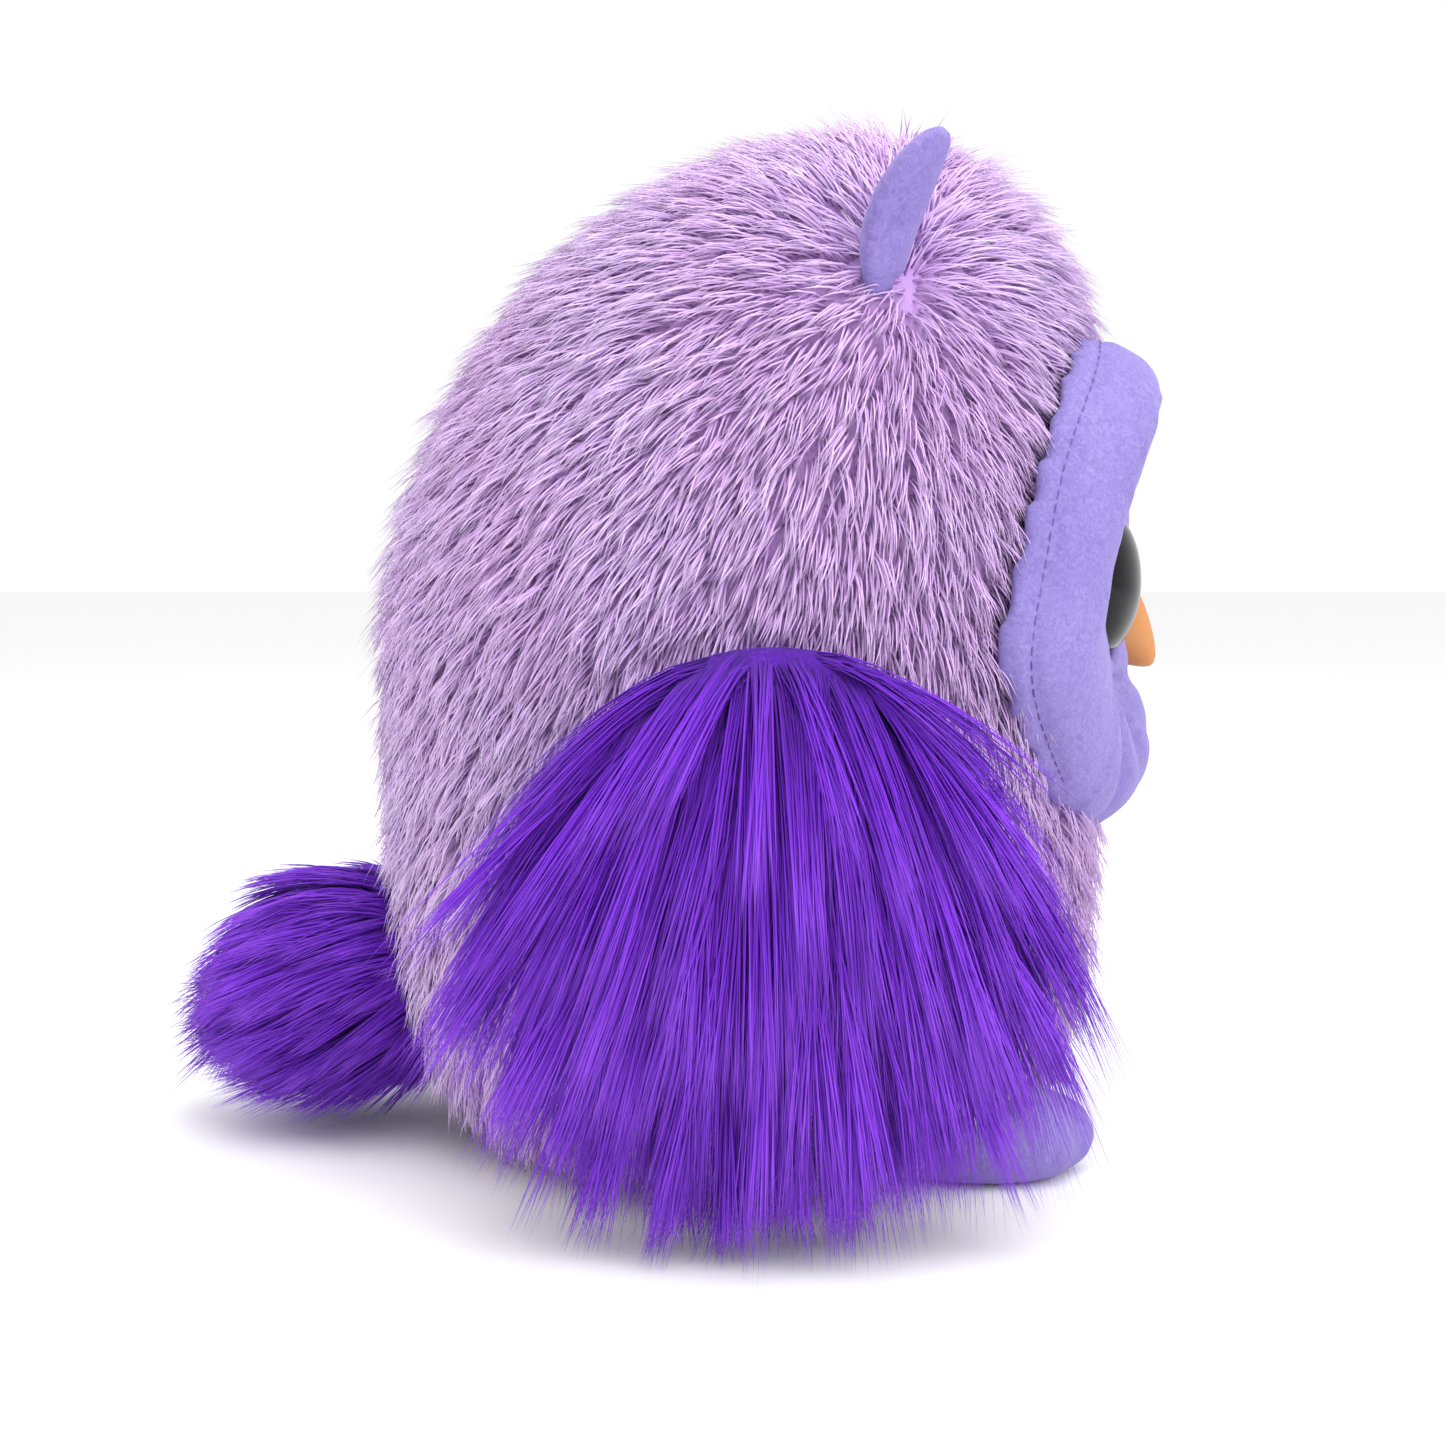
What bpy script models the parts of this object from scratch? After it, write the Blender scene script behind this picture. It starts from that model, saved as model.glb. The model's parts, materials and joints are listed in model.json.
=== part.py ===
"""A plush owl toy: a stuffed fur body round a small gearbox that lifts both wings.

The owl stands on Z = 0 and faces -Y, so its left side is +X. Lengths are in metres.
"""
import math

import bmesh
import bpy
from mathutils import Matrix, Vector

MM = 0.001
GAP = 0.4 * MM                      # clearance between sewn or moulded neighbours

# Body: an egg whose head end leans forward
BODY_RADIUS = 89 * MM
BODY_HEIGHT = 245 * MM
BELLY_Z = 107 * MM                  # height of the widest ring
BOTTOM_REACH = 125 * MM             # depth of the lower half's curve, cut flat at Z = 0
HEAD_LEAN = 27 * MM
SKIN = 8 * MM                       # backing and pile together
EGG_SEGMENTS = 28
EGG_RINGS = 13

# Wings and their drive
HINGE_X = 60 * MM
HINGE_Z = 126 * MM
ARM_ANGLE = math.radians(-31)       # the lever's arm at rest, below the horizontal
IDLER_X = 15 * MM
GEAR_Y = (-6 * MM, 0.0)             # layer of the sectors and idlers
WHEEL_Y = (1 * MM, 5 * MM)          # layer of the large reduction wheel
REDUCTION = (15 * MM, 102 * MM)     # X and Z of the reduction gear
WING_MODULE = 1.5 * MM
MOTOR_MODULE = 0.8 * MM
SECTOR_TEETH = 40                   # teeth that a whole wheel of the sector's size would have
IDLER_TEETH = 20
SMALL_TEETH = 12
LARGE_TEETH = 36
PINION_TEETH = 10
SHAFT_RADIUS = 1.5 * MM
BORE_RADIUS = 1.8 * MM
PRESSURE_ANGLE = math.radians(25)
# The motor's pinion sits straight under the idlers, one centre distance from the reduction gear.
MOTOR_DISTANCE = MOTOR_MODULE * (LARGE_TEETH + PINION_TEETH) / 2
MOTOR_AXIS = (0.0, REDUCTION[1] - math.sqrt(MOTOR_DISTANCE ** 2 - REDUCTION[0] ** 2))

# Gearbox, electronics case and battery box
CASE_Y = (-14 * MM, 12 * MM)
CASE_SPLIT = -3 * MM
CASE_WALL = 2 * MM
CASE_HALF = 35 * MM
CASE_Z = (78.8 * MM, 150 * MM)
SHOULDER_HALF = 68 * MM
SHOULDER_Z = 100 * MM
CORE_HALF = (34 * MM, 24 * MM)
CORE_Z = (24.6 * MM, 78.4 * MM)
BATTERY_HALF = (28 * MM, 31.5 * MM)
BATTERY_Z = (3.9 * MM, 24.2 * MM)
CELL_RADIUS = 7.25 * MM
CELL_LENGTH = 50.5 * MM
PANEL_RADIUS = 54 * MM
PANEL_THICK = 3.5 * MM
DOOR_HALF = (26 * MM, 30 * MM)

# Touch buttons under the fur
HEAD_BUTTON = (0.0, -22 * MM, 214 * MM)
CHEST_BUTTON = (0.0, -60 * MM, 52 * MM)
BUTTON_RADIUS = 13 * MM
BUTTON_TRAVEL = 2.5 * MM
SPEAKER_Z = 52 * MM
HEAD_ROUTE = [(-20 * MM, 18 * MM, 62 * MM), (-20 * MM, 18 * MM, 160 * MM), (-8 * MM, -6 * MM, 196 * MM),
              (0.0, -22 * MM, 208 * MM), (0.0, -22 * MM, 213 * MM)]
CHEST_ROUTE = [(-26 * MM, -12 * MM, 52 * MM), (-26 * MM, -34 * MM, 52 * MM), (-12 * MM, -50 * MM, 52 * MM),
               (0.0, -54 * MM, 52 * MM), (0.0, -59 * MM, 52 * MM)]

# Face
FACE_Z = 134 * MM
FACE_HALF = (66 * MM, 58 * MM)
FACE_FRONT = 97 * MM
EYE_X = 31 * MM
EYE_Z = 137 * MM
EYE_RADIUS = 17 * MM
EYE_SEAT_Y = -87 * MM
EYE_TURN = math.radians(14)         # each eye looks a little outwards
POST_LENGTH = 3.2 * MM              # snap-on posts of the eyes and beak
WASHER = [(5.5 * MM, -2.7 * MM), (5.5 * MM, -1.3 * MM), (2.3 * MM, -1.3 * MM), (2.3 * MM, -2.7 * MM)]
BEAK_Z = 124 * MM
BEAK_SEAT_Y = -93 * MM


COLOURS = {
    "plush": ((0.42, 0.24, 0.55), 0.95, 0.0),
    "wing_fur": ((0.16, 0.05, 0.50), 0.95, 0.0),
    "velour": ((0.38, 0.28, 0.66), 0.90, 0.0),
    "stuffing": ((0.85, 0.85, 0.83), 1.0, 0.0),
    "eye_black": ((0.01, 0.01, 0.015), 0.08, 0.0),
    "beak_orange": ((0.72, 0.30, 0.06), 0.65, 0.0),
    "white_plastic": ((0.75, 0.75, 0.72), 0.45, 0.0),
    "black_plastic": ((0.03, 0.03, 0.035), 0.5, 0.0),
    "gear_plastic": ((0.80, 0.78, 0.70), 0.4, 0.0),
    "steel": ((0.60, 0.60, 0.60), 0.3, 1.0),
    "board_green": ((0.02, 0.20, 0.08), 0.5, 0.0),
    "cell_wrap": ((0.55, 0.35, 0.05), 0.35, 0.4),
    "wire_red": ((0.55, 0.03, 0.03), 0.5, 0.0),
}


def clear_scene():
    for old in list(bpy.data.objects):
        bpy.data.objects.remove(old, do_unlink=True)


def material(name):
    found = bpy.data.materials.get(name)
    if found:
        return found
    colour, roughness, metallic = COLOURS[name]
    made = bpy.data.materials.new(name)
    made.use_nodes = True
    shader = made.node_tree.nodes["Principled BSDF"]
    shader.inputs["Base Color"].default_value = (*colour, 1.0)
    shader.inputs["Roughness"].default_value = roughness
    shader.inputs["Metallic"].default_value = metallic
    made.diffuse_color = (*colour, 1.0)
    return made


def add_piece(name, bm, finish, pivot=(0.0, 0.0, 0.0), smooth=False):
    """Make an object of a mesh in world places, with its origin at the pivot."""
    bmesh.ops.recalc_face_normals(bm, faces=bm.faces)
    bmesh.ops.translate(bm, vec=-Vector(pivot), verts=bm.verts)
    mesh = bpy.data.meshes.new(name)
    bm.to_mesh(mesh)
    bm.free()
    piece = bpy.data.objects.new(name, mesh)
    piece.location = pivot
    bpy.context.scene.collection.objects.link(piece)
    mesh.materials.append(material(finish))
    if smooth:
        mesh.shade_smooth()
        mesh.set_sharp_from_angle(angle=math.radians(35))
    return piece


def combine(piece, tool_bm, operation):
    """Join a tool solid to a piece, or cut it away, with a Boolean."""
    index = len([m for m in piece.modifiers if m.type == "BOOLEAN"]) + 1
    tool = add_piece(f"{piece.name}_tool_{index}", tool_bm, "steel")
    tool.hide_render = True
    tool.display_type = "WIRE"
    change = piece.modifiers.new(f"{operation.lower()}_{index}", "BOOLEAN")
    change.operation = operation
    change.solver = "EXACT"
    change.object = tool


def cut(piece, tool_bm):
    combine(piece, tool_bm, "DIFFERENCE")


def join(piece, tool_bm):
    combine(piece, tool_bm, "UNION")


def box(low, high):
    bm = bmesh.new()
    centre = (Vector(low) + Vector(high)) / 2
    size = Vector(high) - Vector(low)
    bmesh.ops.create_cube(bm, size=1.0, matrix=Matrix.Translation(centre) @ Matrix.Diagonal((*size, 1.0)))
    return bm


def prism(outline, y_low, y_high):
    """Extrude an outline of (x, z) points along Y."""
    bm = bmesh.new()
    face = bm.faces.new([bm.verts.new((x, y_low, z)) for x, z in outline])
    extruded = bmesh.ops.extrude_face_region(bm, geom=[face])["geom"]
    moved = [item for item in extruded if isinstance(item, bmesh.types.BMVert)]
    bmesh.ops.translate(bm, vec=(0, y_high - y_low, 0), verts=moved)
    return bm


def rod(start, end, radius, segments=10):
    """A straight round bar between two points."""
    axis = Vector(end) - Vector(start)
    turn = axis.to_track_quat("Z", "Y").to_matrix().to_4x4()
    place = Matrix.Translation((Vector(start) + Vector(end)) / 2) @ turn
    place = place @ Matrix.Rotation(math.pi / segments, 4, "Z")
    bm = bmesh.new()
    bmesh.ops.create_cone(bm, cap_ends=True, segments=segments, radius1=radius, radius2=radius,
                          depth=axis.length, matrix=place)
    return bm


def turned(profile, place, segments=20):
    """A closed solid turned about its own Z from (radius, height) points that start and end on the axis."""
    bm = bmesh.new()
    rings = []
    for radius, height in profile:
        if radius == 0.0:
            rings.append([bm.verts.new((0, 0, height))])
            continue
        angles = [math.tau * (i + 0.5) / segments for i in range(segments)]
        rings.append([bm.verts.new((radius * math.cos(a), radius * math.sin(a), height)) for a in angles])
    bridge_rings(bm, rings, segments)
    bmesh.ops.transform(bm, matrix=place, verts=bm.verts)
    return bm


def tube(route, radius, segments=8):
    """A bent round bar along a route of points."""
    points = [Vector(point) for point in route]
    bm = bmesh.new()
    rings = []
    for k, point in enumerate(points):
        before = points[max(k - 1, 0)]
        after = points[min(k + 1, len(points) - 1)]
        turn = (after - before).to_track_quat("Z", "X").to_matrix()
        angles = [math.tau * (i + 0.3) / segments for i in range(segments)]
        rings.append([bm.verts.new(point + turn @ Vector((radius * math.cos(a), radius * math.sin(a), 0)))
                      for a in angles])
    bridge_rings(bm, rings, segments)
    bm.faces.new(rings[0])
    bm.faces.new(rings[-1])
    return bm


def bridge_rings(bm, rings, segments):
    for lower, upper in zip(rings, rings[1:]):
        for i in range(segments):
            corners = [lower[i % len(lower)], lower[(i + 1) % len(lower)]]
            corners += [upper[(i + 1) % len(upper)], upper[i % len(upper)]]
            unique = list(dict.fromkeys(corners))
            if len(unique) > 2:
                bm.faces.new(unique)


def body_radius(z, inset=0.0):
    """Radius of the egg at height z, for a surface that lies inset inside the fur's tips."""
    widest = BODY_RADIUS - inset
    if z >= BELLY_Z:
        rise = min((z - BELLY_Z) / (BODY_HEIGHT - inset - BELLY_Z), 1.0)
        return widest * (1 - rise ** 2.6) ** (1 / 2.1)
    drop = (BELLY_Z - z) / BOTTOM_REACH
    return widest * math.sqrt(1 - drop ** 4)


def body_lean(z):
    """How far forward the egg's centre line is at height z."""
    return -HEAD_LEAN * max(0.0, (z - 125 * MM) / (120 * MM)) ** 1.5


def egg_ring(bm, z, inset):
    radius = body_radius(z, inset)
    angles = [math.tau * i / EGG_SEGMENTS for i in range(EGG_SEGMENTS)]
    lean = body_lean(z)
    return [bm.verts.new((radius * math.cos(a), lean + radius * math.sin(a), z)) for a in angles]


def egg_rings(bm, inset):
    """Rings from the floor to the crown, closer together near both."""
    rings = []
    top = BODY_HEIGHT - inset
    for k in range(EGG_RINGS):
        rise = (1 - math.cos(math.pi * k / EGG_RINGS)) / 2
        rings.append(egg_ring(bm, top * rise, inset))
    rings.append([bm.verts.new((0, body_lean(top), top))])
    return rings


def egg(inset, skirt=0.0):
    """The solid egg, with a straight skirt under its flat bottom where one is asked for."""
    bm = bmesh.new()
    rings = egg_rings(bm, inset)
    if skirt:
        rings.insert(0, [bm.verts.new((v.co.x, v.co.y, -skirt)) for v in rings[0]])
    bridge_rings(bm, rings, EGG_SEGMENTS)
    bm.faces.new(rings[0])
    return bm


def egg_shell(outer_inset, inner_inset):
    """The egg's skin, open underneath."""
    bm = bmesh.new()
    outer = egg_rings(bm, outer_inset)
    inner = egg_rings(bm, inner_inset)
    bridge_rings(bm, outer, EGG_SEGMENTS)
    bridge_rings(bm, inner, EGG_SEGMENTS)
    bridge_rings(bm, [outer[0], inner[0]], EGG_SEGMENTS)
    return bm


def clear_of_body(piece):
    """Shape the back of a sewn-on pad to the body."""
    cut(piece, egg(-GAP, skirt=10 * MM))


def involute(angle):
    return math.tan(angle) - angle


def gear_outline(centre, module, teeth, phase, span=None):
    """Involute teeth round a centre, as (x, z) points; span limits a sector to some of its teeth."""
    pitch = module * teeth / 2
    base = pitch * math.cos(PRESSURE_ANGLE)
    root = pitch - 1.15 * module
    tip = pitch + 0.8 * module
    slack = 0.15 * MM / pitch
    at_pitch = math.pi / (2 * teeth) - slack + involute(PRESSURE_ANGLE)
    flank = []
    for radius in (root, pitch, tip):
        reach = math.acos(min(base / radius, 1.0))
        flank.append((radius, at_pitch - involute(reach)))
    count = teeth if span is None else span
    points = []
    for tooth in range(count):
        middle = phase + math.tau * tooth / teeth
        points += [(radius, middle - half) for radius, half in flank]
        points += [(radius, middle + half) for radius, half in reversed(flank)]
    return [(centre[0] + r * math.cos(a), centre[1] + r * math.sin(a)) for r, a in points]


def arc_points(centre, radius, start, stop, steps):
    """Points of an arc in the XZ plane."""
    angles = [start + (stop - start) * i / (steps - 1) for i in range(steps)]
    return [(centre[0] + radius * math.cos(a), centre[1] + radius * math.sin(a)) for a in angles]


def gear(name, centre, module, teeth, phase, layer):
    """A spur gear with a bore, turning about Y."""
    wheel = add_piece(name, prism(gear_outline(centre, module, teeth, phase), *layer), "gear_plastic",
                      (centre[0], 0, centre[1]))
    bore(wheel, centre)
    return wheel


def bore(piece, centre, radius=BORE_RADIUS):
    cut(piece, rod((centre[0], -40 * MM, centre[1]), (centre[0], 40 * MM, centre[1]), radius, 10))


def make_body():
    skin = add_piece("body_skin", egg_shell(0.0, SKIN), "plush", smooth=True)
    stuffing = add_piece("stuffing", egg(SKIN + GAP), "stuffing", smooth=True)
    cut(stuffing, box((-0.1, -0.1, -0.01), (0.1, 0.1, PANEL_THICK + GAP)))
    for side in (-1, 1):
        for piece in (skin, stuffing):
            cut(piece, box(*side_slot(side, 50 * MM, 100 * MM)))
    room = 0.5 * MM
    cut(stuffing, prism(case_outline(room), CASE_Y[0] - 2.4 * MM, CASE_Y[1] + room))
    cut(stuffing, box((-13 * MM, CASE_Y[1], 80 * MM), (13 * MM, 39 * MM, 103 * MM)))
    core_low = (-CORE_HALF[0] - room, -CORE_HALF[1] - 2.4 * MM - room, CORE_Z[0] - room)
    core_high = (CORE_HALF[0] + room, CORE_HALF[1] + room, CORE_Z[1] + 2 * room)
    cut(stuffing, box(core_low, core_high))
    battery_high = (BATTERY_HALF[0] + room, BATTERY_HALF[1] + room, BATTERY_Z[1] + room)
    cut(stuffing, box((-BATTERY_HALF[0] - room, -BATTERY_HALF[1] - room, -1 * MM), battery_high))
    cut(stuffing, box((-9 * MM, 36.5 * MM, -1 * MM), (9 * MM, 47.5 * MM, 12 * MM)))
    for spot, axis in button_places():
        cut(stuffing, rod(spot - axis * 0.5 * MM, spot + axis * 40 * MM, BUTTON_RADIUS + room, 14))
    for route in (HEAD_ROUTE, CHEST_ROUTE):
        cut(stuffing, tube(extended(route), 2.2 * MM))


def extended(route):
    """A wire's route, run on a little at both ends so that its channel opens into the next space."""
    first, second = Vector(route[0]), Vector(route[1])
    last, before = Vector(route[-1]), Vector(route[-2])
    run_on = 1.8 * MM
    start = first + (first - second).normalized() * run_on
    end = last + (last - before).normalized() * run_on
    return [start, *route[1:-1], end]


def side_slot(side, near, far):
    """Corners of the slot through which a wing's arm leaves the body."""
    xs = sorted((side * near, side * far))
    return (xs[0], GEAR_Y[0] - 1.2 * MM, 103 * MM), (xs[1], GEAR_Y[1] + 1.2 * MM, 131 * MM)


def button_places():
    head = (Vector(HEAD_BUTTON), Vector((0, 0, 1)))
    chest = (Vector(CHEST_BUTTON), Vector((0, -1, 0)))
    return head, chest


def face_depth(x, z, rim):
    """Y of the face pad's front; rim runs from 0 at its middle to 1 at its edge."""
    front = -FACE_FRONT + 3.2 * x * x
    brow = -5 * MM * math.exp(-((abs(x) - 40 * MM) / (20 * MM)) ** 2 - ((z - 176 * MM) / (16 * MM)) ** 2)
    return front + brow + 15 * MM * (1 - math.sqrt(max(0.0, 1 - rim ** 5)))


def face_outline(angle):
    """Edge of the heart-shaped face pad."""
    across = math.copysign(abs(math.cos(angle)) ** 0.85, math.cos(angle))
    up = math.copysign(abs(math.sin(angle)) ** 0.85, math.sin(angle))
    dip = 9 * MM * math.exp(-(across / 0.3) ** 2) if up > 0 else 0.0
    return FACE_HALF[0] * across, FACE_HALF[1] * up - dip


def face_pad_bm(segments=28):
    bm = bmesh.new()
    rings = [[bm.verts.new((0, face_depth(0, FACE_Z, 0), FACE_Z))]]
    for rim in (0.45, 0.75, 0.92, 1.0):
        ring = []
        for i in range(segments):
            x, z = face_outline(math.tau * (i + 0.5) / segments)
            x, z = x * rim, FACE_Z + z * rim
            ring.append(bm.verts.new((x, face_depth(x, z, rim), z)))
        rings.append(ring)
    back = [bm.verts.new((v.co.x, -50 * MM, v.co.z)) for v in rings[-1]]
    rings.append(back)
    bridge_rings(bm, rings, segments)
    bm.faces.new(back)
    return bm


def eye_place(side):
    """Frame of an eye: its own +Z looks out of the face."""
    turn = Matrix.Rotation(side * EYE_TURN, 4, "Z") @ Matrix.Rotation(math.pi / 2, 4, "X")
    return Matrix.Translation((side * EYE_X, EYE_SEAT_Y, EYE_Z)) @ turn


def beak_place():
    return Matrix.Translation((0, BEAK_SEAT_Y, BEAK_Z)) @ Matrix.Rotation(math.pi / 2, 4, "X")


def dome_profile(radius, height, post_radius, post_length, steps=5):
    """A dome on a thin post, from the post's end to the dome's crown."""
    profile = [(0.0, -post_length), (post_radius, -post_length), (post_radius, 0.0)]
    for k in range(steps):
        angle = math.pi / 2 * k / steps
        profile.append((radius * math.cos(angle), height * math.sin(angle)))
    return profile + [(0.0, height)]


def seat_profile(radius, depth, post_radius, washer_radius):
    """The cutter of a recess in the pad's front, a hole for the post and a pocket for the washer."""
    return [(0.0, -50 * MM), (washer_radius, -50 * MM), (washer_radius, -MM), (post_radius, -MM),
            (post_radius, -GAP), (radius, -GAP), (radius, depth), (0.0, depth)]


def ring_solid(profile, place, segments=14):
    """A solid turned about its own Z from a closed profile that stays off the axis."""
    bm = bmesh.new()
    rings = []
    for radius, height in profile:
        angles = [math.tau * i / segments for i in range(segments)]
        rings.append([bm.verts.new((radius * math.cos(a), radius * math.sin(a), height)) for a in angles])
    bridge_rings(bm, rings + [rings[0]], segments)
    bmesh.ops.transform(bm, matrix=place, verts=bm.verts)
    return bm


def make_face():
    pad = add_piece("face_pad", face_pad_bm(), "velour", smooth=True)
    clear_of_body(pad)
    for side, word in ((1, "left"), (-1, "right")):
        place = eye_place(side)
        cut(pad, turned(seat_profile(EYE_RADIUS + GAP, 20 * MM, 2.4 * MM, 6 * MM), place))
        add_piece(f"eye_{word}", turned(dome_profile(EYE_RADIUS, 10 * MM, 2 * MM, POST_LENGTH), place),
                  "eye_black", smooth=True)
        add_piece(f"eye_washer_{word}", ring_solid(WASHER, place),
                  "white_plastic")
    cut(pad, turned(seat_profile(11.4 * MM, 20 * MM, 2.4 * MM, 6 * MM), beak_place()))
    beak = turned(dome_profile(10 * MM, 11 * MM, 2 * MM, POST_LENGTH), beak_place())
    for vert in beak.verts:
        forward = max(0.0, BEAK_SEAT_Y - vert.co.y) / (11 * MM)
        vert.co.z -= 8 * MM * forward ** 2
    add_piece("beak", beak, "beak_orange", smooth=True)
    add_piece("beak_washer", ring_solid(WASHER, beak_place()),
              "white_plastic")


def pad_solid(centre, half, turn=Matrix(), power=2.0, segments=16, rings=8):
    """A stuffed pad: an ellipsoid, or a boxier one for a higher power."""
    bm = bmesh.new()
    bmesh.ops.create_uvsphere(bm, u_segments=segments, v_segments=rings, radius=1.0)
    half_step = Matrix.Rotation(math.pi / segments, 4, "Z")
    bmesh.ops.transform(bm, matrix=half_step, verts=bm.verts)
    for vert in bm.verts:
        norm = sum(abs(c) ** power for c in vert.co) ** (1 / power)
        vert.co = Vector([c / norm * h for c, h in zip(vert.co, half)])
    bmesh.ops.transform(bm, matrix=Matrix.Translation(centre) @ turn.to_4x4(), verts=bm.verts)
    return bm


def make_sewn_parts():
    for side, word in ((1, "left"), (-1, "right")):
        root = Vector((side * 58 * MM, -34 * MM, 200 * MM))
        tip = Vector((side * 74 * MM, -50 * MM, 232 * MM))
        length = (tip - root).length
        up = (tip - root).normalized()
        thick = (Vector((0, -1, 0)) - up * -up.y).normalized()
        wide = thick.cross(up)
        turn = Matrix((wide, thick, up)).transposed()
        leaf = pad_solid((root + tip) / 2, (15 * MM, 5.5 * MM, length / 2), turn, 2.4)
        ear = add_piece(f"ear_{word}", leaf,
                        "velour", smooth=True)
        clear_of_body(ear)
        foot = add_piece(f"foot_{word}", pad_solid((side * 40 * MM, -56 * MM, 8.3 * MM), (21 * MM, 27 * MM, 12 * MM),
                                                   power=2.6), "velour", smooth=True)
        cut(foot, box((-0.2, -0.2, -0.05), (0.2, 0.2, 0.0)))
        clear_of_body(foot)
    tail = add_piece("tail", pad_solid((0, 96 * MM, 36 * MM), (36 * MM, 44 * MM, 32 * MM), power=2.4), "wing_fur",
                     smooth=True)
    clear_of_body(tail)


def wing_outline(angle):
    """Edge of a wing as (y, z) from its middle: narrow shoulders over a broad hem."""
    y = math.copysign(abs(math.cos(angle)) ** 0.8, math.cos(angle))
    z = math.copysign(abs(math.sin(angle)) ** 0.8, math.sin(angle))
    half_width = 64 * MM - 28 * MM * max(0.0, z) ** 1.5 - 22 * MM * max(0.0, -z) ** 3
    shift = -14 * MM * max(0.0, z)
    return half_width * y + shift, 61 * MM * z


def wing_bm(side, segments=24):
    """A curved pad that hangs beside the body, from its inner face's middle to its outer face's."""
    middle_y, middle_z = -8 * MM, 64 * MM
    rims = (0.0, 0.6, 0.9, 1.0)
    bm = bmesh.new()
    rings = []
    for rim, face in [(rim, -1) for rim in rims] + [(rim, 1) for rim in reversed(rims)]:
        half_thick = 1 * MM + 10.5 * MM * math.sqrt(max(0.0, 1 - rim ** 4))
        ring = []
        for i in range(segments if rim else 1):
            dy, dz = wing_outline(math.tau * i / segments)
            y, z = middle_y + dy * rim, middle_z + dz * rim
            wrap = 0.6 * (BODY_RADIUS - math.sqrt(BODY_RADIUS ** 2 - y * y))
            ring.append(bm.verts.new((side * (104.5 * MM - wrap + face * half_thick), y, z)))
        rings.append(ring)
    bridge_rings(bm, rings, segments)
    return bm


def mirrored(points, side):
    return [(side * x, z) for x, z in points]


def lever_outline(side):
    """The sector's teeth facing the idler, the hub, and the arm that reaches into the wing."""
    hinge = (HINGE_X, HINGE_Z)
    pitch_angle = math.tau / SECTOR_TEETH
    meshed = 4.5 if side > 0 else 4.0       # one side meets the idlers with a gap, the other with a tooth
    first = math.pi - meshed * pitch_angle
    teeth = gear_outline(hinge, WING_MODULE, SECTOR_TEETH, first, span=6)
    arm = Vector((math.cos(ARM_ANGLE), math.sin(ARM_ANGLE)))
    across = Vector((-arm.y, arm.x)) * 3 * MM
    middle = Vector(hinge)
    elbow = middle + arm * 41 * MM
    outline = teeth[:]
    outline += arc_points(hinge, 6.5 * MM, math.radians(-130), math.radians(-70), 5)
    outline += [tuple(middle + arm * 7 * MM - across), tuple(elbow - across), tuple(elbow + across)]
    outline += [tuple(middle + arm * 7 * MM + across)]
    outline += arc_points(hinge, 6.5 * MM, math.radians(10), math.radians(120), 6)
    return mirrored(outline, side)


def make_wings():
    for side, word in ((1, "left"), (-1, "right")):
        pivot = (side * HINGE_X, 0, HINGE_Z)
        lever = add_piece(f"wing_lever_{word}", prism(lever_outline(side), *GEAR_Y), "gear_plastic", pivot)
        bore(lever, (side * HINGE_X, HINGE_Z))
        join(lever, box(*paddle_corners(side, 0.0)))
        wing = add_piece(f"wing_{word}", wing_bm(side), "wing_fur", pivot, smooth=True)
        cut(wing, box(*paddle_corners(side, GAP)))
        cut(wing, box(*arm_room(side)))
        shaft_ends = [(side * HINGE_X, y, HINGE_Z) for y in (CASE_Y[0] + 0.5 * MM, CASE_Y[1] - 0.5 * MM)]
        add_piece(f"wing_shaft_{word}", rod(*shaft_ends, SHAFT_RADIUS), "steel", smooth=True)


def paddle_corners(side, room):
    """The flat blade at the end of a lever, inside the wing."""
    xs = sorted((side * (94.5 * MM - room), side * (98.5 * MM + room)))
    return (xs[0], -24 * MM - room, 56 * MM - room), (xs[1], 14 * MM + room, 109 * MM + room)


def arm_room(side):
    xs = sorted((side * 80 * MM, side * 96 * MM))
    return (xs[0], GEAR_Y[0] - GAP, 97 * MM), (xs[1], GEAR_Y[1] + GAP, 116 * MM)


def make_gears():
    for side, word, phase in ((1, "left", 0.0), (-1, "right", math.pi / IDLER_TEETH)):
        centre = (side * IDLER_X, HINGE_Z)
        gear(f"idler_gear_{word}", centre, WING_MODULE, IDLER_TEETH, phase, GEAR_Y)
        ends = [(centre[0], y, centre[1]) for y in (CASE_Y[0] + 0.5 * MM, CASE_Y[1] - 0.5 * MM)]
        add_piece(f"idler_shaft_{word}", rod(*ends, SHAFT_RADIUS), "steel", smooth=True)
    towards_motor = math.atan2(MOTOR_AXIS[1] - REDUCTION[1], MOTOR_AXIS[0] - REDUCTION[0])
    small_phase = math.pi / 2 + math.pi / SMALL_TEETH
    large = gear_outline(REDUCTION, MOTOR_MODULE, LARGE_TEETH, towards_motor)
    wheel = add_piece("reduction_gear", prism(large, *WHEEL_Y), "gear_plastic", (REDUCTION[0], 0, REDUCTION[1]))
    small = gear_outline(REDUCTION, WING_MODULE, SMALL_TEETH, small_phase)
    join(wheel, prism(small, GEAR_Y[0], WHEEL_Y[0] + 1 * MM))
    bore(wheel, REDUCTION)
    ends = [(REDUCTION[0], y, REDUCTION[1]) for y in (CASE_Y[0] + 0.5 * MM, CASE_Y[1] - 0.5 * MM)]
    add_piece("reduction_shaft", rod(*ends, SHAFT_RADIUS), "steel", smooth=True)
    pinion_phase = towards_motor + math.pi + math.pi / PINION_TEETH
    pinion = add_piece("motor_pinion", prism(gear_outline(MOTOR_AXIS, MOTOR_MODULE, PINION_TEETH, pinion_phase),
                                             *WHEEL_Y), "gear_plastic", (MOTOR_AXIS[0], 0, MOTOR_AXIS[1]))
    bore(pinion, MOTOR_AXIS, 1.3 * MM)


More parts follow.
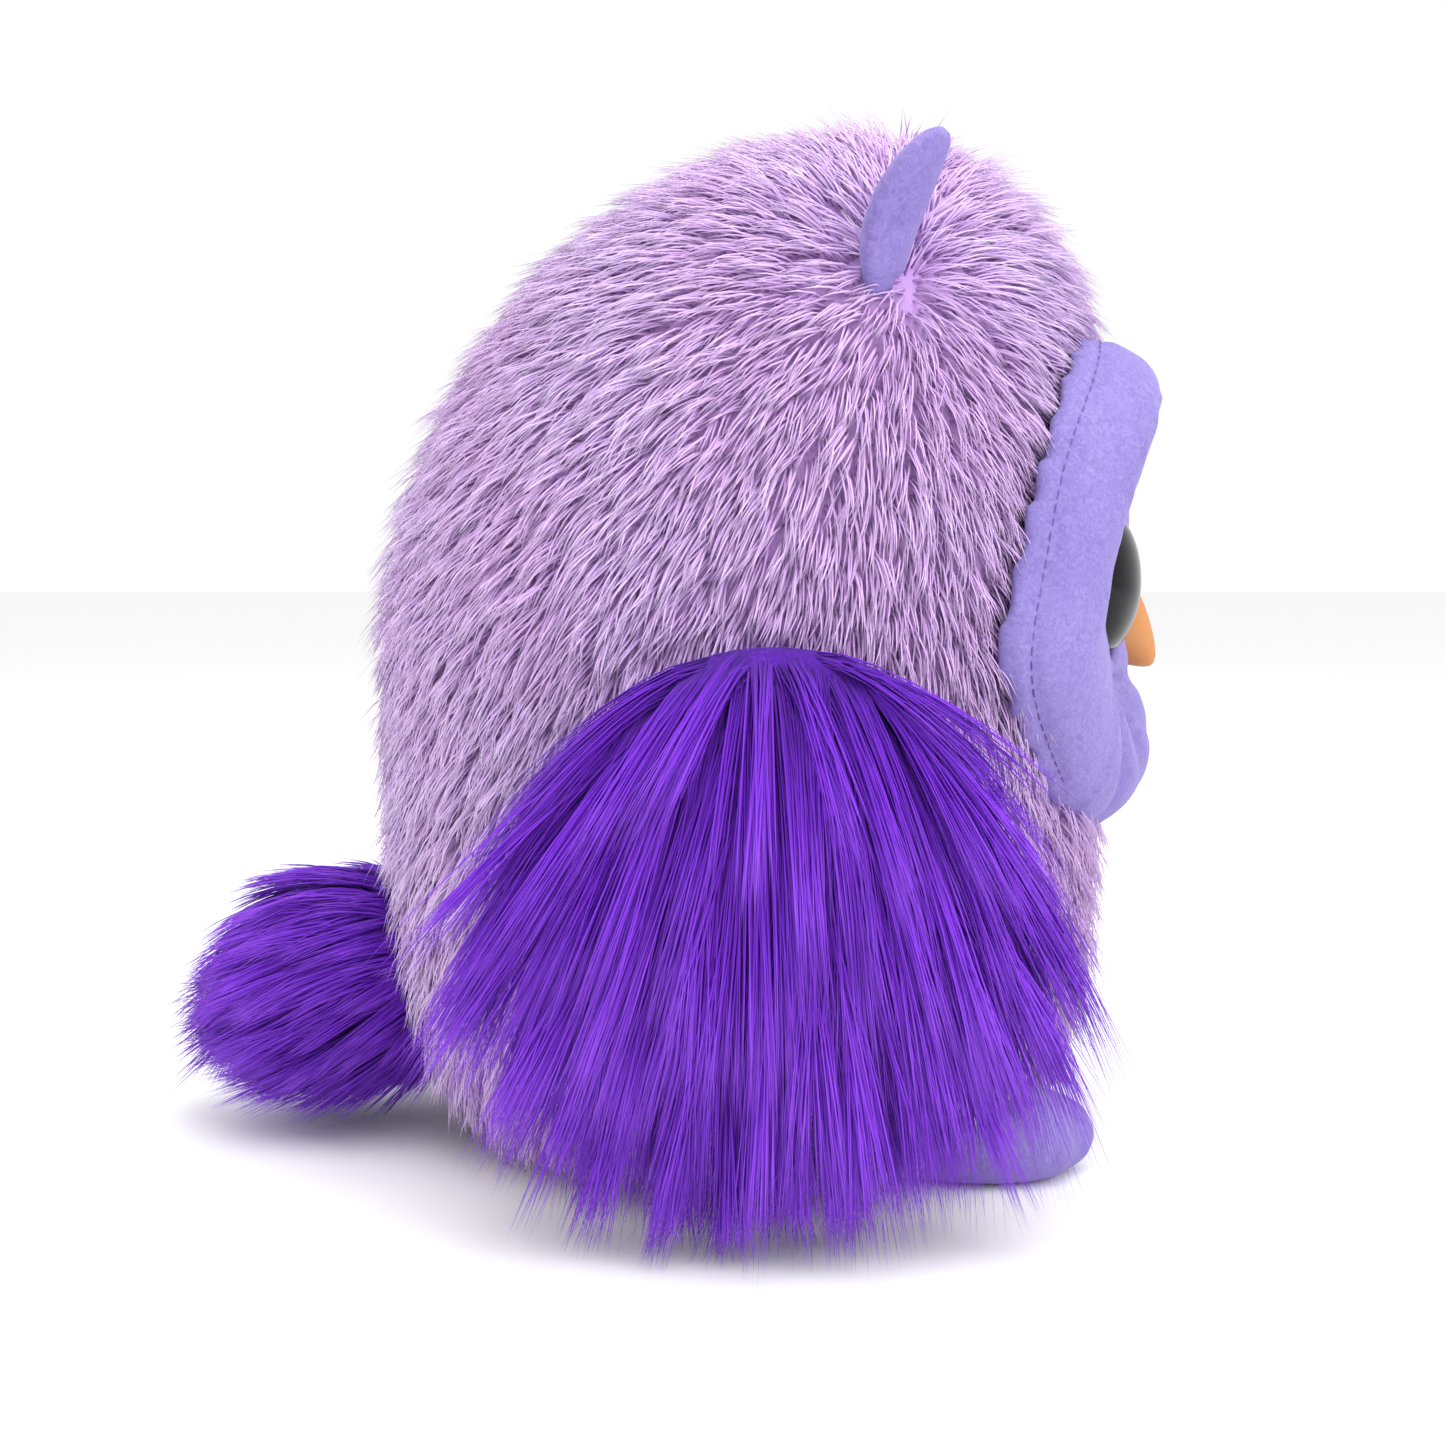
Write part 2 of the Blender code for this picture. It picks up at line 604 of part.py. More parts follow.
def make_motor():
    x, z = MOTOR_AXIS
    can = add_piece("motor", rod((x, CASE_Y[1] + GAP, z), (x, CASE_Y[1] + 25 * MM, z), 10 * MM, 14), "steel",
                    smooth=True)
    flat = 7.8 * MM
    for way in (-1, 1):
        lows = sorted((z + way * flat, z + way * 15 * MM))
        cut(can, box((x - 15 * MM, 0, lows[0]), (x + 15 * MM, 45 * MM, lows[1])))
    join(can, rod((x, WHEEL_Y[0] - 0.5 * MM, z), (x, CASE_Y[1] + 1 * MM, z), 1 * MM, 8))


def case_outline(room=0.0):
    """The gearbox seen from the front: a body with a shoulder on each side."""
    inner, outer = CASE_HALF + room, SHOULDER_HALF + room
    low, high, shoulder = CASE_Z[0] - room, CASE_Z[1] + room, SHOULDER_Z - room
    half = [(inner, low), (inner, shoulder), (outer, shoulder), (outer, high)]
    return half + [(-x, z) for x, z in reversed(half)]


def shaft_places():
    places = [REDUCTION]
    for side in (-1, 1):
        places += [(side * HINGE_X, HINGE_Z), (side * IDLER_X, HINGE_Z)]
    return places


def screw_places():
    return [(side * 30.5 * MM, z) for side in (-1, 1) for z in (83.5 * MM, 145.5 * MM)]


def make_gearbox():
    middle = CASE_SPLIT
    front = add_piece("gearbox_front", prism(case_outline(), CASE_Y[0], middle - GAP / 2), "black_plastic")
    rear = add_piece("gearbox_rear", prism(case_outline(), middle + GAP / 2, CASE_Y[1]), "black_plastic")
    cut(front, prism(case_outline(-CASE_WALL), CASE_Y[0] + CASE_WALL, middle + 1 * MM))
    cut(rear, prism(case_outline(-CASE_WALL), middle - 1 * MM, CASE_Y[1] - CASE_WALL))
    for x, z in shaft_places():
        join(front, rod((x, CASE_Y[0] + 1 * MM, z), (x, GEAR_Y[0] - GAP, z), 4 * MM, 8))
        rear_stop = WHEEL_Y[1] if (x, z) == REDUCTION else GEAR_Y[1]
        join(rear, rod((x, rear_stop + GAP, z), (x, CASE_Y[1] - 1 * MM, z), 4 * MM, 8))
    for x, z in screw_places():
        join(front, rod((x, CASE_Y[0] + 1 * MM, z), (x, middle - GAP / 2, z), 3.4 * MM, 8))
        join(rear, rod((x, middle + GAP / 2, z), (x, CASE_Y[1] - 1 * MM, z), 3.4 * MM, 8))
    for x, z in shaft_places():
        bore(front, (x, z))
        bore(rear, (x, z))
    bore(rear, MOTOR_AXIS, 6 * MM)
    for index, (x, z) in enumerate(screw_places(), 1):
        bore(front, (x, z), 1.5 * MM)
        cut(rear, rod((x, middle - 1 * MM, z), (x, 9 * MM, z), 1.5 * MM))
        screw = add_piece(f"gearbox_screw_{index}", rod((x, CASE_Y[0] - 2 * MM, z), (x, CASE_Y[0] - 0.3 * MM, z),
                                                       2.8 * MM), "steel", smooth=True)
        join(screw, rod((x, CASE_Y[0] - 1 * MM, z), (x, 8 * MM, z), 1.2 * MM, 8))
        slot_y = (CASE_Y[0] - 3 * MM, CASE_Y[0] - 1.2 * MM)
        for half_x, half_z in ((2 * MM, GAP), (GAP, 2 * MM)):
            cut(screw, box((x - half_x, slot_y[0], z - half_z), (x + half_x, slot_y[1], z + half_z)))
    for side in (-1, 1):
        for half in (front, rear):
            cut(half, box(*side_slot(side, 62 * MM, 75 * MM)))


def make_core():
    """The electronics case under the gearbox, with the board and the loudspeaker."""
    half_x, half_y = CORE_HALF
    low, high = CORE_Z
    lid_y = -half_y - GAP
    case = add_piece("electronics_case", box((-half_x, -half_y, low), (half_x, half_y, high)),
                     "black_plastic")
    cut(case, box((-half_x + CASE_WALL, -half_y - 1 * MM, low + CASE_WALL),
                  (half_x - CASE_WALL, half_y - CASE_WALL, high - CASE_WALL)))
    cut(case, rod((*HEAD_ROUTE[0][:2], high - 5 * MM), (*HEAD_ROUTE[0][:2], high + 5 * MM), 2.6 * MM, 8))
    lid = add_piece("speaker_grille", box((-half_x, lid_y - CASE_WALL, low), (half_x, lid_y, high)),
                    "black_plastic")
    cut(lid, rod((*CHEST_ROUTE[0][:1], lid_y - 5 * MM, CHEST_ROUTE[0][2]), (CHEST_ROUTE[0][0], lid_y + 5 * MM,
                                                                           CHEST_ROUTE[0][2]), 2.6 * MM, 8))
    for row in range(-2, 3):
        z = SPEAKER_Z + row * 5 * MM
        reach = 15 * MM - abs(row) * 2.5 * MM
        cut(lid, box((-reach, lid_y - 5 * MM, z - 1 * MM), (reach, lid_y + 5 * MM, z + 1 * MM)))
    towards_front = Matrix.Translation((0, -half_y + 1 * MM, SPEAKER_Z)) @ Matrix.Rotation(math.pi / 2, 4, "X")
    basket = [(19 * MM, 0.0), (17 * MM, 0.0), (8 * MM, -7 * MM), (8 * MM, -11 * MM), (10 * MM, -11 * MM),
              (10 * MM, -7.5 * MM), (19 * MM, -2 * MM)]
    add_piece("speaker_basket", ring_solid(basket[::-1], towards_front), "steel", smooth=True)
    cone = [(0.0, -4.4 * MM), (6 * MM, -6 * MM), (14.8 * MM, -0.4 * MM), (14.8 * MM, 0.4 * MM), (5 * MM, -3.2 * MM),
            (0.0, -2.4 * MM)]
    add_piece("speaker_cone", turned(cone, towards_front), "black_plastic", smooth=True)
    magnet = [(0.0, -10.5 * MM), (7.2 * MM, -10.5 * MM), (7.2 * MM, -7.4 * MM), (0.0, -7.4 * MM)]
    add_piece("speaker_magnet", turned(magnet, towards_front), "steel")
    board = add_piece("circuit_board", box((-28 * MM, 4 * MM, 32 * MM), (28 * MM, 5.6 * MM, 68 * MM)),
                      "board_green")
    for x, z, width, height in ((0, 46, 12, 12), (-18, 58, 8, 5), (18, 56, 6, 10), (16, 38, 14, 4)):
        chip_low = ((x - width / 2) * MM, 5.2 * MM, (z - height / 2) * MM)
        join(board, box(chip_low, ((x + width / 2) * MM, 8 * MM, (z + height / 2) * MM)))


def make_battery_box():
    half_x, half_y = BATTERY_HALF
    low, high = BATTERY_Z
    tray = add_piece("battery_box", box((-half_x, -half_y, low), (half_x, half_y, high)), "black_plastic")
    cut(tray, box((-half_x + CASE_WALL, -half_y + CASE_WALL, low - 1 * MM),
                  (half_x - CASE_WALL, half_y - CASE_WALL, high - CASE_WALL)))
    middle_z = low + 2 * MM + CELL_RADIUS + 0.6 * MM
    for index, x in enumerate((-16 * MM, 0.0, 16 * MM), 1):
        nose_first = -1 if index % 2 else 1
        can = rod((x, -CELL_LENGTH / 2, middle_z), (x, CELL_LENGTH / 2, middle_z), CELL_RADIUS, 14)
        cell = add_piece(f"cell_{index}", can, "cell_wrap", smooth=True)
        nose_y = nose_first * CELL_LENGTH / 2
        nose = rod((x, nose_y - nose_first * MM, middle_z), (x, nose_y + nose_first * MM, middle_z), 2.7 * MM, 8)
        join(cell, nose)
    for way, word in ((-1, "front"), (1, "rear")):
        ys = sorted((way * 27.6 * MM, way * 28.6 * MM))
        plate = box((-24 * MM, ys[0], middle_z - 6 * MM), (24 * MM, ys[1], middle_z + 6 * MM))
        add_piece(f"contact_plate_{word}", plate, "steel")


def make_base():
    panel = add_piece("base_panel", rod((0, 0, 0), (0, 0, PANEL_THICK), PANEL_RADIUS, 28), "black_plastic",
                      smooth=True)
    room = 0.3 * MM
    opening = (DOOR_HALF[0] + room, DOOR_HALF[1] + room)
    cut(panel, box((-opening[0], -opening[1], -1 * MM), (*opening, 2 * PANEL_THICK)))
    door = add_piece("battery_door", box((-DOOR_HALF[0], -DOOR_HALF[1], 0.0), (*DOOR_HALF, 3.3 * MM)),
                     "black_plastic")
    screw_y = -DOOR_HALF[1] + 4.5 * MM
    cut(door, rod((0, screw_y, -1 * MM), (0, screw_y, 1.9 * MM), 3.2 * MM))
    cut(door, rod((0, screw_y, -1 * MM), (0, screw_y, 5 * MM), 1.5 * MM))
    screw = add_piece("door_screw", rod((0, screw_y, 0.6 * MM), (0, screw_y, 1.6 * MM), 2.8 * MM), "steel",
                      smooth=True)
    join(screw, rod((0, screw_y, 1.2 * MM), (0, screw_y, 5 * MM), 1.2 * MM, 8))
    cut(screw, box((-2 * MM, screw_y - GAP, -1 * MM), (2 * MM, screw_y + GAP, 1.1 * MM)))
    cut(screw, box((-GAP, screw_y - 2 * MM, -1 * MM), (GAP, screw_y + 2 * MM, 1.1 * MM)))
    slot_low, slot_high = (-5 * MM, 40 * MM), (5 * MM, 44 * MM)
    cut(panel, box((*slot_low, -1 * MM), (*slot_high, 5 * MM)))
    body = add_piece("switch_body", box((-8 * MM, 37 * MM, 3.9 * MM), (8 * MM, 47 * MM, 11 * MM)),
                     "black_plastic")
    cut(body, box((-6 * MM, 39 * MM, 3 * MM), (6 * MM, 45 * MM, 9 * MM)))
    slider = box((-4.6 * MM, 40.4 * MM, 1 * MM), (-0.6 * MM, 43.6 * MM, 8 * MM))
    add_piece("switch_slider", slider, "white_plastic", pivot=(-2.6 * MM, 42 * MM, 4 * MM))


def make_buttons():
    for (spot, axis), word in zip(button_places(), ("head", "chest")):
        turn = axis.to_track_quat("Z", "Y").to_matrix().to_4x4()
        place = Matrix.Translation(spot) @ turn
        radius = BUTTON_RADIUS
        cup = [(radius, 0.0), (radius, 8 * MM), (radius - 2 * MM, 8 * MM), (radius - 2 * MM, 2 * MM),
               (2.2 * MM, 2 * MM), (2.2 * MM, 0.0)]
        add_piece(f"{word}_button_cup", ring_solid(cup[::-1], place), "black_plastic", smooth=True)
        cap_radius = radius - 2 * MM - 0.4 * MM
        low = 2.2 * MM + BUTTON_TRAVEL
        cap = [(0.0, low), (cap_radius, low), (cap_radius, 9.5 * MM), (cap_radius - 2 * MM, 10.5 * MM),
               (0.0, 11 * MM)]
        add_piece(f"{word}_button_cap", turned(cap, place), "white_plastic", tuple(spot), smooth=True)


def make_wires():
    add_piece("head_wire", tube(HEAD_ROUTE, 1 * MM), "wire_red", smooth=True)
    add_piece("chest_wire", tube(CHEST_ROUTE, 1 * MM), "wire_red", smooth=True)


def main():
    clear_scene()
    make_body()
    make_face()
    make_sewn_parts()
    make_wings()
    make_gears()
    make_motor()
    make_gearbox()
    make_core()
    make_battery_box()
    make_base()
    make_buttons()
    make_wires()


main()
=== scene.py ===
# %% [markdown]
# # A plush owl in long fur, two-tone plush and velour
# The toy is a stuffed egg of frosted plush with a velour face, velour ears and feet, and shaggy purple wings
# and tail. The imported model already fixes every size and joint, so this lesson only makes the surfaces. It
# starts by loading that model and keeping its box, because the soft surfaces have to stay within it.

# %% Load the fixed model
import json
import math

import bmesh
import bpy
import numpy as np
from mathutils import Matrix, Vector
from mathutils.bvhtree import BVHTree


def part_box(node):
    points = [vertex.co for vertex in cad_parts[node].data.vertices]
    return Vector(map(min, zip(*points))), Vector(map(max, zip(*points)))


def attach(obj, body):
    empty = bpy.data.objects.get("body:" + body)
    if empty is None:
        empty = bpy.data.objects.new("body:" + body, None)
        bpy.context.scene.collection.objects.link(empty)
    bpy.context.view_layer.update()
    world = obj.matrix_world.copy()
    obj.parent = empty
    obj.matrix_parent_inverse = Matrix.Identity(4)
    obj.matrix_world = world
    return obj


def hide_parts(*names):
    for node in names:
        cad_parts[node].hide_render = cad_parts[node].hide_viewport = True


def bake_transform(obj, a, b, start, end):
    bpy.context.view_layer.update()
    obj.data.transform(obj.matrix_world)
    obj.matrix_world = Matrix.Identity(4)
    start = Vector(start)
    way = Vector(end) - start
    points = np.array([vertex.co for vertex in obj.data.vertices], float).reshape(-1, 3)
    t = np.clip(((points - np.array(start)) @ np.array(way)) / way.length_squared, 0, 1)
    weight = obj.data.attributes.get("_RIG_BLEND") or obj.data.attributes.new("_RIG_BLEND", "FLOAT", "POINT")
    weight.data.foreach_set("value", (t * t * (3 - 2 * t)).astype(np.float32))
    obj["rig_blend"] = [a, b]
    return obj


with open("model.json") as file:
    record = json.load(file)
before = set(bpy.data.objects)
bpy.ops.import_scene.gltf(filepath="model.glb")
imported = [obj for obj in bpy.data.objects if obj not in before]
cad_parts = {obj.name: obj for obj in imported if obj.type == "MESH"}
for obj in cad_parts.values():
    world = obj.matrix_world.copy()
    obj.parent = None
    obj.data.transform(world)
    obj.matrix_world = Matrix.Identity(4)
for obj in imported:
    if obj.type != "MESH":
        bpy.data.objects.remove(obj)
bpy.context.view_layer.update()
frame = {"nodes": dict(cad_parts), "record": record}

MM = 0.001
SIDES = (("left", 1), ("right", -1))


def put_in_scene(name, data):
    """Link a new object into the scene."""
    thing = bpy.data.objects.new(name, data)
    bpy.context.scene.collection.objects.link(thing)
    return thing


# %% [markdown]
# ## The camera
# The toy is looked at from its right side, half a metre away and a little above its middle. So near a camera
# gives a strong perspective: the wing in front looks large, and the belly hides the root of the tail. The
# camera therefore has to stand at the real distance. A long lens from far away would flatten the toy.

# %% Camera
EYE_POINT = Vector((-0.50, 0.005, 0.145))
DOWNWARDS = math.radians(5)
LOOK = Vector((math.cos(DOWNWARDS), 0, -math.sin(DOWNWARDS)))
camera = put_in_scene("camera", bpy.data.cameras.new("camera"))
camera.location = EYE_POINT
camera.rotation_euler = LOOK.to_track_quat("-Z", "Y").to_euler()
camera.data.lens = 50
camera.data.sensor_width = 36
camera.data.clip_start = 0.01
bpy.context.scene.camera = camera
print("camera at", [round(c, 3) for c in EYE_POINT])

# %% [markdown]
# ## Node maths that reads like Python
# Both materials and geometry trees are networks of nodes, and long sums are hard to read as nodes. One small
# class wraps a socket, and +, -, * and / on it add a Math node, or a Vector Math node where a vector is in
# play. Everything else, such as noise or a ramp, goes through its one method `made`.

# %% A socket that takes part in sums
class Wire:
    """One output socket of a node tree."""

    def __init__(self, tree, socket):
        self.tree = tree
        self.socket = socket

    def made(self, kind, settings=None, values=None, out=0):
        """Add a node: its settings first, then numbers or wires into its inputs. Gives one of its outputs."""
        node = self.tree.nodes.new(kind)
        for name, value in (settings or {}).items():
            if name == "stops":
                fill_ramp(node.color_ramp, value)
            else:
                setattr(node, name, value)
        for name, value in (values or {}).items():
            if isinstance(value, Wire):
                self.tree.links.new(value.socket, node.inputs[name])
            else:
                node.inputs[name].default_value = value
        return Wire(self.tree, node.outputs[out])

    def output(self, out):
        """Another output of the same node."""
        return Wire(self.tree, self.socket.node.outputs[out])

    def is_vector(self):
        return self.socket.type == "VECTOR"

    def sum_with(self, other, operation, reflected=False):
        first, second = (other, self) if reflected else (self, other)
        vectors = [isinstance(w, Wire) and w.is_vector() or isinstance(w, tuple) for w in (first, second)]
        if not any(vectors):
            return self.made("ShaderNodeMath", {"operation": operation}, {0: first, 1: second})
        if operation == "MULTIPLY" and not all(vectors):
            vector, scale = (first, second) if vectors[0] else (second, first)
            return self.made("ShaderNodeVectorMath", {"operation": "SCALE"}, {0: vector, 3: scale})
        return self.made("ShaderNodeVectorMath", {"operation": operation}, {0: first, 1: second})

    def __add__(self, other):
        return self.sum_with(other, "ADD")

    def __sub__(self, other):
        return self.sum_with(other, "SUBTRACT")

    def __rsub__(self, other):
        return self.sum_with(other, "SUBTRACT", True)

    def __mul__(self, other):
        return self.sum_with(other, "MULTIPLY")

    def __truediv__(self, other):
        return self.sum_with(other, "DIVIDE")

    def __pow__(self, power):
        return self.sum_with(power, "POWER")

    __radd__ = __add__
    __rmul__ = __mul__


def fill_ramp(ramp, stops):
    while len(ramp.elements) < len(stops):
        ramp.elements.new(1.0)
    for element, (place, colour) in zip(ramp.elements, stops):
        element.position = place
        element.color = (*colour, 1.0)


# %% [markdown]
# ## Finishes
# Every finish starts from one Principled shader. A number that is the same all over goes straight on the
# shader's socket. Only colour, roughness and the surface normal vary, and they read Object coordinates or an
# attribute of the piece, so a pattern stays on the toy when a wing moves.

# %% Start of a finish
def start_finish(name, **constants):
    material = bpy.data.materials.new(name)
    material.use_nodes = True
    tree = material.node_tree
    shader = tree.nodes["Principled BSDF"]
    for key, value in constants.items():
        shader.inputs[key.replace("_", " ")].default_value = value
    place = Wire(tree, tree.nodes.new("ShaderNodeTexCoord").outputs["Object"])
    return material, shader, place


def plug_in(wire, shader, socket):
    wire.tree.links.new(wire.socket, shader.inputs[socket])


def noise(place, scale, detail=2.0, distortion=0.0, roughness=0.5):
    """Noise on Object coordinates; scale counts features to the metre."""
    return place.made("ShaderNodeTexNoise", None, {"Vector": place, "Scale": scale, "Detail": detail,
                                                   "Distortion": distortion, "Roughness": roughness})


def ramp(wire, stops):
    return wire.made("ShaderNodeValToRGB", {"stops": stops}, {"Fac": wire})


def mix_colours(factor, first, second, blend="MIX"):
    """Mix two colours, each a wire or three numbers."""
    inputs = {0: factor}
    for slot, colour in ((6, first), (7, second)):
        inputs[slot] = colour if isinstance(colour, Wire) else (*colour, 1.0)
    host = next(w for w in (factor, first, second) if isinstance(w, Wire))
    return host.made("ShaderNodeMix", {"data_type": "RGBA", "blend_type": blend}, inputs, out=2)


def bump(height, shader, distance, strength=1.0):
    relief = height.made("ShaderNodeBump", None,
                         {"Height": height, "Distance": distance, "Strength": strength})
    plug_in(relief, shader, "Normal")


def attribute(place, name):
    return place.made("ShaderNodeAttribute", {"attribute_name": name}, None, out=2)


# %% [markdown]
# ## Fur colours
# The colour along each strand is partly painted light: it darkens the pile towards its roots as painted shade,
# where light can't reach, and lightens it towards its tips as painted light. Frosted plush also has real pale
# tips spun into it. The strands carry three numbers for this: `along` runs from root to tip, `lock` is one
# number for each lock, and `strand` one for each strand. Light scatters from strand to strand in real pile,
# which softens it, so each strand is shaded partly by `facing`, the way the skin under it faces.

# %% Fur finish
def fur_finish(name, stops, lock_tint, patch_tint, patch_scale, sheen):
    material, shader, place = start_finish(name, Roughness=0.62, Sheen_Weight=sheen, Sheen_Roughness=0.45)
    shader.inputs["Specular IOR Level"].default_value = 0.2
    along = attribute(place, "along")
    lock = attribute(place, "lock")
    strand = attribute(place, "strand")
    # Painted shade and light: the ramp darkens each strand towards its root and lightens it towards its tip; on
    # the frosted plush the pale tips are also real.
    colour = ramp(along + (strand - 0.5) * 0.28, stops)
    patch = ramp(noise(place, patch_scale, detail=3.0), [(0.38, (0, 0, 0)), (0.62, (1, 1, 1))])
    colour = mix_colours(patch * 0.45, colour, patch_tint)
    colour = mix_colours(lock * 0.30, colour, lock_tint)
    value = 0.90 + strand * 0.12 + lock * 0.08
    shade = place.made("ShaderNodeCombineColor", None, {0: value, 1: value, 2: value})
    plug_in(mix_colours(1.0, colour, shade, "MULTIPLY"), shader, "Base Color")
    facing = place.made("ShaderNodeAttribute", {"attribute_name": "facing"}, None, out=1)
    facing = place.made("ShaderNodeVectorTransform", {"vector_type": "NORMAL", "convert_from": "OBJECT",
                                                      "convert_to": "WORLD"}, {0: facing})
    own = place.made("ShaderNodeNewGeometry", None, None, out=1)
    softened = place.made("ShaderNodeVectorMath", {"operation": "NORMALIZE"}, {0: facing * 0.4 + own * 0.6})
    plug_in(softened, shader, "Normal")
    return material


# The first stops of each ramp are painted shade at the roots. The last ones are painted light at the tips, and
# on the frosted plush they are also its real pale frosting.
FROSTED = fur_finish("frosted_plush", [(0.0, (0.46, 0.25, 0.62)), (0.35, (0.56, 0.34, 0.72)),
                                       (0.7, (0.66, 0.46, 0.80)), (1.0, (0.76, 0.61, 0.87))],
                     lock_tint=(0.72, 0.58, 0.84), patch_tint=(0.62, 0.34, 0.70),
                     patch_scale=22.0, sheen=0.2)
SHAGGY = fur_finish("shaggy_purple_fur", [(0.0, (0.030, 0.001, 0.15)), (0.3, (0.095, 0.006, 0.38)),
                                          (0.65, (0.185, 0.020, 0.62)), (1.0, (0.29, 0.075, 0.78))],
                    lock_tint=(0.27, 0.06, 0.74), patch_tint=(0.11, 0.008, 0.44),
                    patch_scale=35.0, sheen=0.03)
print("fur finishes", FROSTED.name, SHAGGY.name)

# %% [markdown]
# ## Velour
# Velour is a knit with a short brushed pile. It has no weave to see. What shows is the nap: small wandering
# patches where the pile leans one way or another, lighter or darker by it. Noise with some distortion gives
# such worm-like patches. A finer noise gives the pile's grain, and a little sheen its soft edge.

# %% Velour and backing cloth
def velour_finish(name, dark, light, nap_scale=560.0, sheen=0.25):
    material, shader, place = start_finish(name, Roughness=0.85, Sheen_Weight=sheen, Sheen_Roughness=0.35)
    shader.inputs["Sheen Tint"].default_value = (0.80, 0.75, 1.0, 1.0)
    shader.inputs["Specular IOR Level"].default_value = 0.2
    nap = noise(place, nap_scale, detail=3.0, distortion=1.6, roughness=0.55)
    grain = noise(place, nap_scale * 6, detail=2.0)
    broad = noise(place, 30.0, detail=2.0)
    tone = nap * 0.55 + grain * 0.2 + broad * 0.25
    plug_in(ramp(tone, [(0.34, dark), (0.66, light)]), shader, "Base Color")
    bump(nap * 0.7 + grain * 0.3, shader, 0.0003, 0.7)
    return material


VELOUR = velour_finish("lavender_velour", (0.175, 0.13, 0.40), (0.29, 0.24, 0.54))
BACKING = velour_finish("plush_backing", (0.46, 0.26, 0.60), (0.54, 0.33, 0.68))
DARK_BACKING = velour_finish("wing_backing", (0.05, 0.004, 0.22), (0.09, 0.010, 0.34), sheen=0.03)


def thread_finish():
    material, shader, place = start_finish("seam_thread", Roughness=0.7)
    twist = noise(place, 2500.0, detail=1.0)
    plug_in(ramp(twist, [(0.3, (0.10, 0.06, 0.26)), (0.7, (0.20, 0.13, 0.42))]), shader, "Base Color")
    return material


THREAD = thread_finish()


# %% [markdown]
# ## Hard finishes
# The eyes are polished black domes and the beak is a soft orange moulding. The parts inside are moulded
# plastic, steel, a lacquered board and wrapped cells. They are hidden in the closed toy, but they are seen
# when the toy is opened, so each gets fine moulding grain, brushing or scuffs of its own.

# %% Hard finishes
def moulded_finish(name, colour, roughness, grain=900.0, worn=0.12, **constants):
    material, shader, place = start_finish(name, **constants)
    fine = noise(place, grain, detail=2.0)
    broad = noise(place, 60.0, detail=3.0)
    pale = tuple(min(1.0, c + worn * (1 - c)) for c in colour)
    rubbed = ramp(broad, [(0.45, (0, 0, 0)), (0.75, (1, 1, 1))])
    plug_in(mix_colours(rubbed, colour, pale), shader, "Base Color")
    plug_in(roughness + (broad - 0.5) * 0.12, shader, "Roughness")
    bump(fine, shader, 0.00008, 0.5)
    return material


def brushed_finish(name, colour, roughness):
    material, shader, place = start_finish(name, Metallic=1.0)
    stretched = place.made("ShaderNodeMapping", None, {"Vector": place, "Scale": (1.0, 0.04, 1.0)})
    lines = noise(stretched, 3000.0, detail=3.0)
    plug_in(ramp(lines, [(0.3, tuple(c * 0.8 for c in colour)), (0.7, colour)]), shader, "Base Color")
    plug_in(roughness + (lines - 0.5) * 0.25, shader, "Roughness")
    bump(lines, shader, 0.00003, 0.4)
    return material


def fibre_finish():
    material, shader, place = start_finish("polyester_stuffing", Roughness=0.95, Sheen_Weight=0.3)
    tufts = noise(place, 140.0, detail=5.0, distortion=2.0)
    plug_in(ramp(tufts, [(0.3, (0.66, 0.66, 0.64)), (0.7, (0.92, 0.92, 0.90))]), shader, "Base Color")
    bump(tufts, shader, 0.002)
    return material


HARD = {
    "eye_black": moulded_finish("polished_black_eye", (0.004, 0.004, 0.006), 0.12, worn=0.0,
                                Specular_IOR_Level=0.25),
    "beak_orange": moulded_finish("soft_orange_beak", (0.50, 0.185, 0.03), 0.55, grain=1500.0, worn=0.06),
    "white_plastic": moulded_finish("white_moulding", (0.72, 0.72, 0.69), 0.42),
    "black_plastic": moulded_finish("black_moulding", (0.025, 0.025, 0.028), 0.48),
    "gear_plastic": moulded_finish("acetal_gear", (0.78, 0.75, 0.66), 0.34, worn=0.05),
    "board_green": moulded_finish("lacquered_board", (0.012, 0.16, 0.06), 0.32, grain=2500.0),
    "cell_wrap": moulded_finish("cell_wrap", (0.50, 0.30, 0.04), 0.28, worn=0.2),
    "wire_red": moulded_finish("wire_sleeve", (0.50, 0.02, 0.02), 0.4),
    "steel": brushed_finish("brushed_steel", (0.62, 0.62, 0.62), 0.32),
    "stuffing": fibre_finish(),
}
SLOT_OF = {part["node"]: part["material_slot"] for part in frame["record"]["subparts"]}
for node_name, node in frame["nodes"].items():
    finish = HARD.get(SLOT_OF[node_name])
    if finish:
        for slot in node.material_slots:
            slot.material = finish
print("hard finishes on", sum(SLOT_OF[n] in HARD for n in frame["nodes"]), "nodes")


# %% [markdown]
# ## Surfaces as grids
# The soft pieces are closed grids: rings of points between two poles. One helper turns rings into a mesh.
# Another gives every point a `comb`, the way the pile is brushed there, and a `pile`, how long it stands.

# %% Grid helpers
def link_mesh(name, mesh, finish):
    mesh.materials.append(finish)
    return put_in_scene(name, mesh)


def evaluated_mesh(piece):
    """A new mesh of what an object's modifiers make."""
    graph = bpy.context.evaluated_depsgraph_get()
    return bpy.data.meshes.new_from_object(piece.evaluated_get(graph))


def grid_mesh(name, rings):
    """A closed mesh of rings of points, where a ring of one point is a pole."""
    bm = bmesh.new()
    made = [[bm.verts.new(point) for point in ring] for ring in rings]
    for lower, upper in zip(made, made[1:]):
        count = max(len(lower), len(upper))
        for i in range(count):
            corners = [lower[i % len(lower)], lower[(i + 1) % len(lower)]]
            corners += [upper[(i + 1) % len(upper)], upper[i % len(upper)]]
            bm.faces.new(list(dict.fromkeys(corners)))
    bmesh.ops.recalc_face_normals(bm, faces=bm.faces)
    mesh = bpy.data.meshes.new(name)
    bm.to_mesh(mesh)
    bm.free()
    mesh.shade_smooth()
    return mesh


